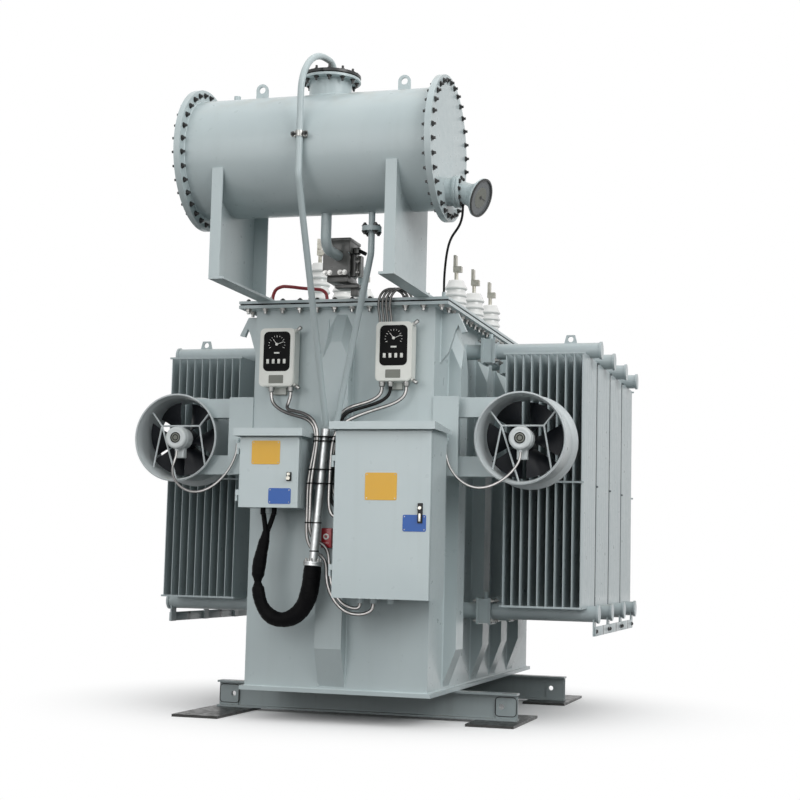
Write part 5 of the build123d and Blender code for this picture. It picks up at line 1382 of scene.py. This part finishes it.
class TRANSFORMER_OT_instruments(Step):
    """Builds the two temperature controllers, the dial of the gauge and the alarm face"""
    bl_idname = "transformer.instruments"
    bl_label = "Instruments"

    CASE_WIDTH, CASE_HEIGHT = 0.188, 0.300
    TILT, SWING = math.radians(20), math.radians(14)

    def make(self):
        form = Form()
        self.controller(form, -0.327, 1.843, (-0.2, 0.36))
        self.controller(form, 0.295, 1.865, (-0.36, -0.12, 0.32))
        made = form.piece("controllers", "root", "instrument_case", "case", "glass", "white",
                          "grey_plate", "zinc", "black")
        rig.replaces(made, "temperature_controllers")
        self.gauge()
        self.relay()
        switch = Form()
        switch.box((-0.050, -1.336, 0.878), (0.004, -1.2925, 0.976), 0.004)
        switch.use(1).lathe([(0.0150, 0.0), (0.0150, 0.003), (0.0138, 0.0042), (0.0, 0.0042)],
                            (-0.023, -1.336, 0.934), FRONT, 32)
        switch.use(0).lathe([(0.0070, 0.004), (0.0070, 0.009), (0.0055, 0.011), (0.0, 0.011)],
                            (-0.023, -1.336, 0.934), FRONT, 24)
        switch.use(1).box((-0.036, -1.3372, 0.898), (-0.010, -1.3355, 0.904), 0.0006)
        made = switch.piece("alarm_switch", "root", "alarm_red", "red", "white")
        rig.replaces(made, "alarm_box")

    def controller(self, form, x, z, shares):
        """Temperature controller with dial, lamps, wing screws and glands."""
        rear, front = -1.230, -1.312
        across, along = (1, 0, 0), UP
        form.use(0)
        case = rounded(self.CASE_WIDTH, self.CASE_HEIGHT, 0.024, 6)
        form.slab(case, (x, rear, z), across, along, 0.060)
        form.slab(rounded(0.180, 0.292, 0.020, 6), (x, rear - 0.060, z), across, along, 0.003)
        form.slab(case, (x, rear - 0.063, z), across, along, 0.015)
        form.slab(rounded(0.180, 0.292, 0.022, 6), (x, rear - 0.078, z), across, along, 0.0035)
        form.use(3)
        form.box((x - 0.046, -1.232, z - 0.186), (x + 0.030, -1.212, z + 0.100), 0.003)
        form.use(5)
        form.slab(rounded(0.144, 0.204, 0.026, 6), (x, front + 0.0012, z + 0.030), across, along,
                  0.0018)
        form.use(1)
        form.slab(rounded(0.136, 0.196, 0.022, 6), (x, front + 0.0004, z + 0.030), across, along,
                  0.0016)
        skin = front - 0.0012
        form.use(2)
        dial = Vector((x, skin, z + 0.066))
        for k in range(13):
            long = 0.010 if k % 3 == 0 else 0.006
            self.bar(form, dial, 205.0 - 230.0 * k / 12, 0.046, long, 0.0006, 0.0010)
        for angle, reach in ((128.0, 0.034), (20.0, 0.038)):
            self.bar(form, dial, angle, reach, reach, 0.0008, 0.0011)
        form.lathe([(0.0075, 0.0), (0.0075, 0.003), (0.005, 0.005), (0.0, 0.005)], dial, FRONT, 20)
        form.box((x - 0.014, skin - 0.001, z + 0.018), (x + 0.016, skin, z + 0.026), 0.0004)
        for dx in (-0.046, -0.016, 0.014, 0.044):
            form.box((x + dx - 0.0075, skin - 0.006, z - 0.034),
                     (x + dx + 0.0075, skin, z - 0.010), 0.003)
        form.use(3)
        form.slab(rounded(0.078, 0.042, 0.003), (x, front + 0.001, z - 0.113), across, along, 0.0022)
        form.use(4)
        for dz, out in ((0.138, (0.80, -0.25, 0.55)), (-0.140, (0.80, -0.25, -0.55))):
            form.lathe([(0.0055, -0.010), (0.0055, 0.008), (0.0100, 0.010), (0.0100, 0.030),
                        (0.0080, 0.034), (0.0, 0.035)], (x + 0.092, rear - 0.046, z + dz), out, 16)
            form.box((x + 0.090, rear - 0.070, z + dz - 0.008),
                     (x + 0.098, rear - 0.030, z + dz + 0.008), 0.0015)
        for share in shares:
            spot = (x + share * self.CASE_WIDTH, rear - 0.041, z - self.CASE_HEIGHT / 2)
            form.lathe([(0.0165, 0.0), (0.0165, 0.008), (0.0150, 0.010), (0.0150, 0.018),
                        (0.0125, 0.024), (0.0095, 0.026)], spot, -UP, 12)

    def bar(self, form, dial, angle, reach, long, deep, wide):
        """Mark or hand on a dial, ending at its reach."""
        a = math.radians(angle)
        middle = dial + Vector((math.cos(a), 0, math.sin(a))) * (reach - long / 2)
        half = Vector((long / 2, deep, wide))
        form.box(middle - half, middle + half, turn=Matrix.Rotation(-a, 3, "Y"))

    def relay(self):
        """Oil relay with its head, flanges, bracket and plug."""
        form = Form()
        form.box((-0.028, -1.428, 2.352), (0.090, -1.262, 2.416), 0.006)
        form.box((-0.032, -1.432, 2.410), (0.094, -1.258, 2.427), 0.005)
        body = ((-0.015, 2.352), (-0.032, 2.290), (-0.032, 2.238), (0.060, 2.238), (0.073, 2.262),
                (0.073, 2.352))
        form.slab(body, (0, -1.235, 0), (1, 0, 0), (0, 0, 1), 0.175)
        form.slab(rounded(0.140, 0.118, 0.020), (0.018, -1.4095, 2.296), (1, 0, 0), (0, 0, 1), 0.0165)
        form.lathe([(0.058, 0.0), (0.058, 0.014)], (0.028, -1.235, 2.335), -FRONT, 40)
        form.box((-0.037, -1.400, 2.208), (0.074, -1.250, 2.241), 0.003)
        form.box((0.072, -1.345, 2.1452), (0.106, -1.308, 2.210), 0.002)
        form.use(1)
        form.box((0.076, -1.372, 2.238), (0.104, -1.345, 2.352), 0.002)
        form.box((0.090, -1.374, 2.352), (0.122, -1.346, 2.386), 0.004)
        form.tube([(0.112, -1.360, 2.374), (0.154, -1.361, 2.352)], 0.0095, 16)
        form.box((-0.001, -1.376, 2.180), (0.122, -1.290, 2.198), 0.002)
        form.use(2)
        form.box((0.104, -1.340, 2.241), (0.124, -1.300, 2.350), 0.002)
        made = form.piece("oil_relay", "root", "instrument_case", "relay", "black", "white")
        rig.replaces(made, "gas_relay")
        spots = [((x, -1.426, 2.251), FRONT) for x in (-0.038, -0.014, 0.040, 0.064)]
        spots += [((0.104, -1.3585, z), (1, 0, 0)) for z in (2.262, 2.318)]
        bolts("relay_bolts", spots, "zinc", head=0.0105, stud=1.2)

    def gauge(self):
        """Level gauge with its flange, flared horn, dial and hand."""
        level = math.cos(self.TILT)
        axis = Vector((level * math.cos(self.SWING), -level * math.sin(self.SWING),
                       -math.sin(self.TILT)))
        form = Form()
        form.lathe([(0.068, 0.0), (0.068, 0.030), (0.076, 0.031), (0.0775, 0.033), (0.0775, 0.046),
                    (0.074, 0.048), (0.074, 0.051), (0.0775, 0.053), (0.0775, 0.064),
                    (0.076, 0.066), (0.0, 0.066)], (0.642, DRUM_Y, GAUGE_Z), (1, 0, 0), 56)
        root = Vector((0.696, DRUM_Y, GAUGE_Z))
        form.lathe([(0.053, 0.0), (0.053, 0.058), (0.055, 0.070), (0.061, 0.083), (0.072, 0.097),
                    (0.086, 0.110), (0.0925, 0.117), (0.0925, 0.124)], root, axis, 64, close=False)
        form.use(1)
        form.lathe([(0.0925, 0.124), (0.0935, 0.125), (0.0935, 0.129), (0.0915, 0.1305),
                    (0.0840, 0.1305), (0.0825, 0.126)], root, axis, 64, close=False)
        form.lathe([(0.0085, 0.124), (0.0085, 0.1265), (0.0, 0.1270)], root, axis, 20)
        form.lathe([(0.0115, 0.0), (0.0115, 0.012), (0.009, 0.0145)], (0.716, DRUM_Y, 2.540), -UP, 20)
        form.use(2)
        form.lathe([(0.0825, 0.126), (0.0820, 0.1235), (0.0500, 0.1235)], root, axis, 64, close=False)
        form.use(3)
        form.lathe([(0.0500, 0.1235), (0.0490, 0.1245), (0.0, 0.1245)], root, axis, 64)
        turn = UP.rotation_difference(axis).to_matrix()
        form.use(1)
        spin = turn @ Matrix.Rotation(math.radians(70), 3, "Z")
        middle = root + spin @ Vector((0.020, 0, 0.1256))
        half = Vector((0.030, 0.0016, 0.0005))
        form.box(middle - half, middle + half, turn=spin)
        made = form.piece("level_gauge", "root", "instrument_case", "paint", "dark_paint", "lens",
                          "grey_plate")
        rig.replaces(made, "oil_level_gauge")


class TRANSFORMER_OT_conduits(Step):
    """Lays the ribbed conduits with their straps and clamps"""
    bl_idname = "transformer.conduits"
    bl_label = "Conduits"

    ROUTES = {
        "A": ((-364.6, -1271, 1666.7), (-364.6, -1271, 1644), (-352, -1275, 1610),
              (-316, -1286, 1580), (-262, -1302, 1556), (-205, -1322, 1540), (-148, -1340, 1526),
              (-106, -1350, 1496), (-88, -1355, 1450), (-88, -1360, 1395), (-97, -1367, 1325),
              (-108, -1374, 1250), (-113, -1380, 1170), (-111, -1384, 1095), (-110, -1384, 1030),
              (-113, -1380, 970), (-111, -1371, 915), (-90, -1357, 868), (-54, -1350, 846),
              (-22, -1356, 822), (-6, -1370, 786), (0, -1384, 745), (10, -1394, 698),
              (32, -1401, 648), (68, -1405, 600), (115, -1406, 566), (165, -1404, 556),
              (206, -1400, 560), (236, -1395.5, 574), (248.6, -1394, 592), (248.6, -1394, 611.7)),
        "B": ((-259.3, -1271, 1666.7), (-259.3, -1271, 1644), (-268, -1278, 1612),
              (-271, -1290, 1588), (-255, -1306, 1572), (-214, -1325, 1564), (-162, -1343, 1552),
              (-114, -1360, 1528), (-82, -1370, 1488), (-70, -1376, 1435), (-73, -1382, 1365),
              (-81, -1388, 1290), (-88, -1394, 1225), (-91, -1398, 1160), (-90, -1401, 1095),
              (-90, -1401, 1035), (-93, -1396, 990), (-92, -1385, 956), (-88, -1366, 932),
              (-68, -1352, 914), (-42, -1349, 898), (-15, -1356, 878), (4, -1370, 846),
              (14, -1386, 795), (24, -1397, 735), (42, -1404, 680), (66, -1408, 636),
              (98, -1408, 604), (134, -1404, 589), (164, -1397.5, 585), (180.8, -1394, 595),
              (180.8, -1394, 611.7)),
        "C": ((227.3, -1271, 1688.7), (227.3, -1271, 1666), (212, -1277, 1640),
              (174, -1286, 1617), (122, -1296, 1600), (68, -1303, 1584), (32, -1304, 1560),
              (10, -1304.5, 1526), (2, -1305, 1478), (0, -1307, 1420), (-2, -1310, 1350),
              (-2, -1317, 1285), (-2, -1327, 1220), (3, -1334, 1170), (17, -1339, 1141),
              (36, -1340, 1130), (57.7, -1340, 1130)),
        "D": ((272.4, -1271, 1688.7), (272.4, -1271, 1664), (256, -1279, 1634),
              (216, -1292, 1608), (160, -1306, 1588), (104, -1315, 1572), (62, -1319, 1556),
              (38, -1319, 1528), (30, -1317, 1488), (24, -1322, 1432), (14, -1331, 1365),
              (4, -1340, 1285), (-1, -1349, 1205), (1, -1358, 1134), (15, -1364, 1095),
              (36, -1366, 1080), (57.7, -1366, 1080)),
        "E": ((355.2, -1271, 1688.7), (355.2, -1271, 1662), (338, -1281, 1630),
              (298, -1297, 1602), (240, -1316, 1580), (178, -1333, 1558), (118, -1346, 1534),
              (70, -1355, 1508), (34, -1361, 1474), (12, -1363, 1430), (2, -1363, 1378),
              (-1, -1364, 1320), (-2, -1367, 1250), (-2, -1373, 1170), (1, -1382, 1094),
              (15, -1390, 1047), (36, -1392, 1030), (57.7, -1392, 1030)),
    }
    HEIGHTS = (1.431, 1.409, 1.266, 1.196, 1.000, 0.860)

    def make(self):
        lines = {key: route([mm(*p) for p in points]) for key, points in self.ROUTES.items()}
        bright = [lines[key] for key in "ABCE"]
        pitch = sizes().rib_pitch / 2
        made = path_piece("bright_conduits", bright, "hose", "conduit", "conduit_metal", 0.0083,
                          pitch, 0.11)
        path_piece("black_conduit", [lines["D"]], "hose", "cable", "conduit_metal", 0.0080, pitch,
                   0.12)
        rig.replaces(made, "controller_conduits")
        self.straps(lines)

    def straps(self, lines):
        """Straps round the riser and its conduits, and the flange at its foot."""
        form = Form()
        width = sizes().strap_width
        for z in self.HEIGHTS:
            share = (RISER_TOP.z - z) / (RISER_TOP.z - RISER_FOOT.z)
            riser = RISER_TOP.lerp(RISER_FOOT, share)
            rounds = [(riser.x, riser.y, 0.0222)]
            for line in lines.values():
                near = min(line, key=lambda p: abs(p.z - z) + 0.2 * (p - riser).length)
                if abs(near.z - z) < 0.03 and (near.xy - riser.xy).length < 0.062:
                    rounds.append((near.x, near.y, 0.0093))
            form.slab(self.hull(rounds), (0, 0, z - width / 2), (1, 0, 0), (0, 1, 0), width)
        form.piece("riser_straps", "root", "cable_black", "black", angle=30.0)
        lean = (RISER_TOP - RISER_FOOT).normalized()
        ring = Form()
        ring.lathe([(0.0215, 0.003), (0.0470, 0.003), (0.0480, 0.002), (0.0480, -0.006),
                    (0.0450, -0.007), (0.0450, -0.009), (0.0480, -0.010), (0.0480, -0.018),
                    (0.0465, -0.019), (0.0215, -0.019)], RISER_FOOT, lean, 48, close=False)
        ring.piece("riser_flange", "root", "riser_zinc", "riser")

    def hull(self, rounds):
        """Outline drawn tight round several circles."""
        spots, slack = [], 0.0016
        for x, y, radius in rounds:
            for k in range(24):
                a = math.tau * k / 24
                spots.append((x + (radius + slack) * math.cos(a), y + (radius + slack) * math.sin(a)))
        spots = sorted(set(spots))
        halves = []
        for row in (spots, spots[::-1]):
            chain = []
            for p in row:
                while len(chain) > 1 and (
                        (chain[-1][0] - chain[-2][0]) * (p[1] - chain[-2][1])
                        - (chain[-1][1] - chain[-2][1]) * (p[0] - chain[-2][0])) <= 0:
                    chain.pop()
                chain.append(p)
            halves += chain[:-1]
        return halves


class TRANSFORMER_OT_bushings(Step):
    """Turns the six porcelain bushings with rounded sheds"""
    bl_idname = "transformer.bushings"
    bl_label = "Bushings"

    def make(self):
        form, base = Form(), 2.145
        for x, height, sheds in ((BUSHING_X, 0.200, 4), (-BUSHING_X, 0.320, 7)):
            for y in BUSHING_ROWS:
                form.use(1).lathe([(0.066, 0.0), (0.066, 0.022), (0.063, 0.026)], (x, y, base), UP)
                form.use(0).lathe(self.profile(height, sheds), (x, y, base + 0.024), UP, 48)
        made = form.piece("porcelain_bushings", "root", "porcelain", "porcelain", "cast",
                          angle=75.0)
        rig.replaces(made, "bushings")

    def profile(self, height, sheds):
        """Rows of radius and height for a stack of sheds."""
        step = height / (sheds + 1)
        rows = [(0.054, 0.0), (0.054, 0.004)]
        for i in range(1, sheds + 1):
            core = 0.054 - 0.003 * i / (sheds + 1)
            z = step * i
            rows += [(core, z - step * 0.34), (0.0580, z - 0.0115), (0.0612, z - 0.0085),
                     (0.0625, z - 0.0045), (0.0615, z - 0.0005), (0.0580, z + 0.0050),
                     (core + 0.001, z + step * 0.36)]
        rows += [(0.0445, height - 0.006), (0.0415, height + 0.0005), (0.034, height + 0.0020),
                 (0.0, height + 0.0020)]
        return rows


class TRANSFORMER_OT_fittings(Step):
    """Adds the pipe clamp and small fittings of the conservator"""
    bl_idname = "transformer.fittings"
    bl_label = "Small Fittings"

    def make(self):
        form = Form()
        x, y, z = -0.006, -1.946, 2.820
        form.lathe([(0.0162, -0.014), (0.0205, -0.014), (0.0205, 0.014), (0.0162, 0.014)],
                   (x, y, z), UP, 32, close=False)
        for dx in (-1, 1):
            form.box((x + dx * 0.030 - 0.011, y - 0.006, z - 0.013),
                     (x + dx * 0.030 + 0.011, y + 0.006, z + 0.013), 0.002)
        form.box((x - 0.030, y + 0.016, z - 0.012), (x + 0.030, y + 0.032, z + 0.012), 0.002)
        form.piece("breather_clamp", "root", "terminal_metal", "zinc")
        lines = []
        for end in (-0.768, 0.768):
            for face in (-0.7015, 0.7015):
                loop = [(end + u, face, 0.084 + v) for u, v in rounded(0.112, 0.098, 0.018, 4)]
                lines.append(loop + loop[:1])
        path_piece("tow_seams", lines, "bead", "dark_paint", "tank_paint", 0.0020, 0.008, 0.3)
        bolts("breather_clamp_bolts", [((x + dx * 0.031, y - 0.006, z), FRONT) for dx in (-1, 1)],
              "dark_bolt", head=0.009, stud=2.2)


class TRANSFORMER_PT_steps(bpy.types.Panel):
    """Steps and settings in the sidebar of the 3D view"""
    bl_idname = "TRANSFORMER_PT_steps"
    bl_label = "Transformer"
    bl_space_type = "VIEW_3D"
    bl_region_type = "UI"
    bl_category = "Transformer"

    def draw(self, context):
        for step in STEPS:
            self.layout.operator(step.bl_idname)
        for group in (sizes(), colours()):
            for key in group.__annotations__:
                self.layout.prop(group, key)


STEPS = [made for made in list(globals().values())
         if isinstance(made, type) and issubclass(made, Step) and made is not Step]
CLASSES = [TransformerSizes, TransformerColours, *STEPS, TRANSFORMER_PT_steps]


def register():
    for made in CLASSES:
        bpy.utils.register_class(made)
    scene = bpy.types.Scene
    scene.transformer_sizes = bpy.props.PointerProperty(type=TransformerSizes)
    scene.transformer_colours = bpy.props.PointerProperty(type=TransformerColours)


def unregister():
    del bpy.types.Scene.transformer_sizes
    del bpy.types.Scene.transformer_colours
    for made in reversed(CLASSES):
        bpy.utils.unregister_class(made)


def main():
    register()
    for step in STEPS:
        getattr(bpy.ops.transformer, step.bl_idname.split(".")[1])()
    boxes = {"cad": [list(corner) for corner in CAD_BOX],
             "look": [list(corner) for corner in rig.bounds()]}
    with open("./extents.json", "w") as out:
        json.dump(boxes, out)


if __name__ == "__main__":
    main()
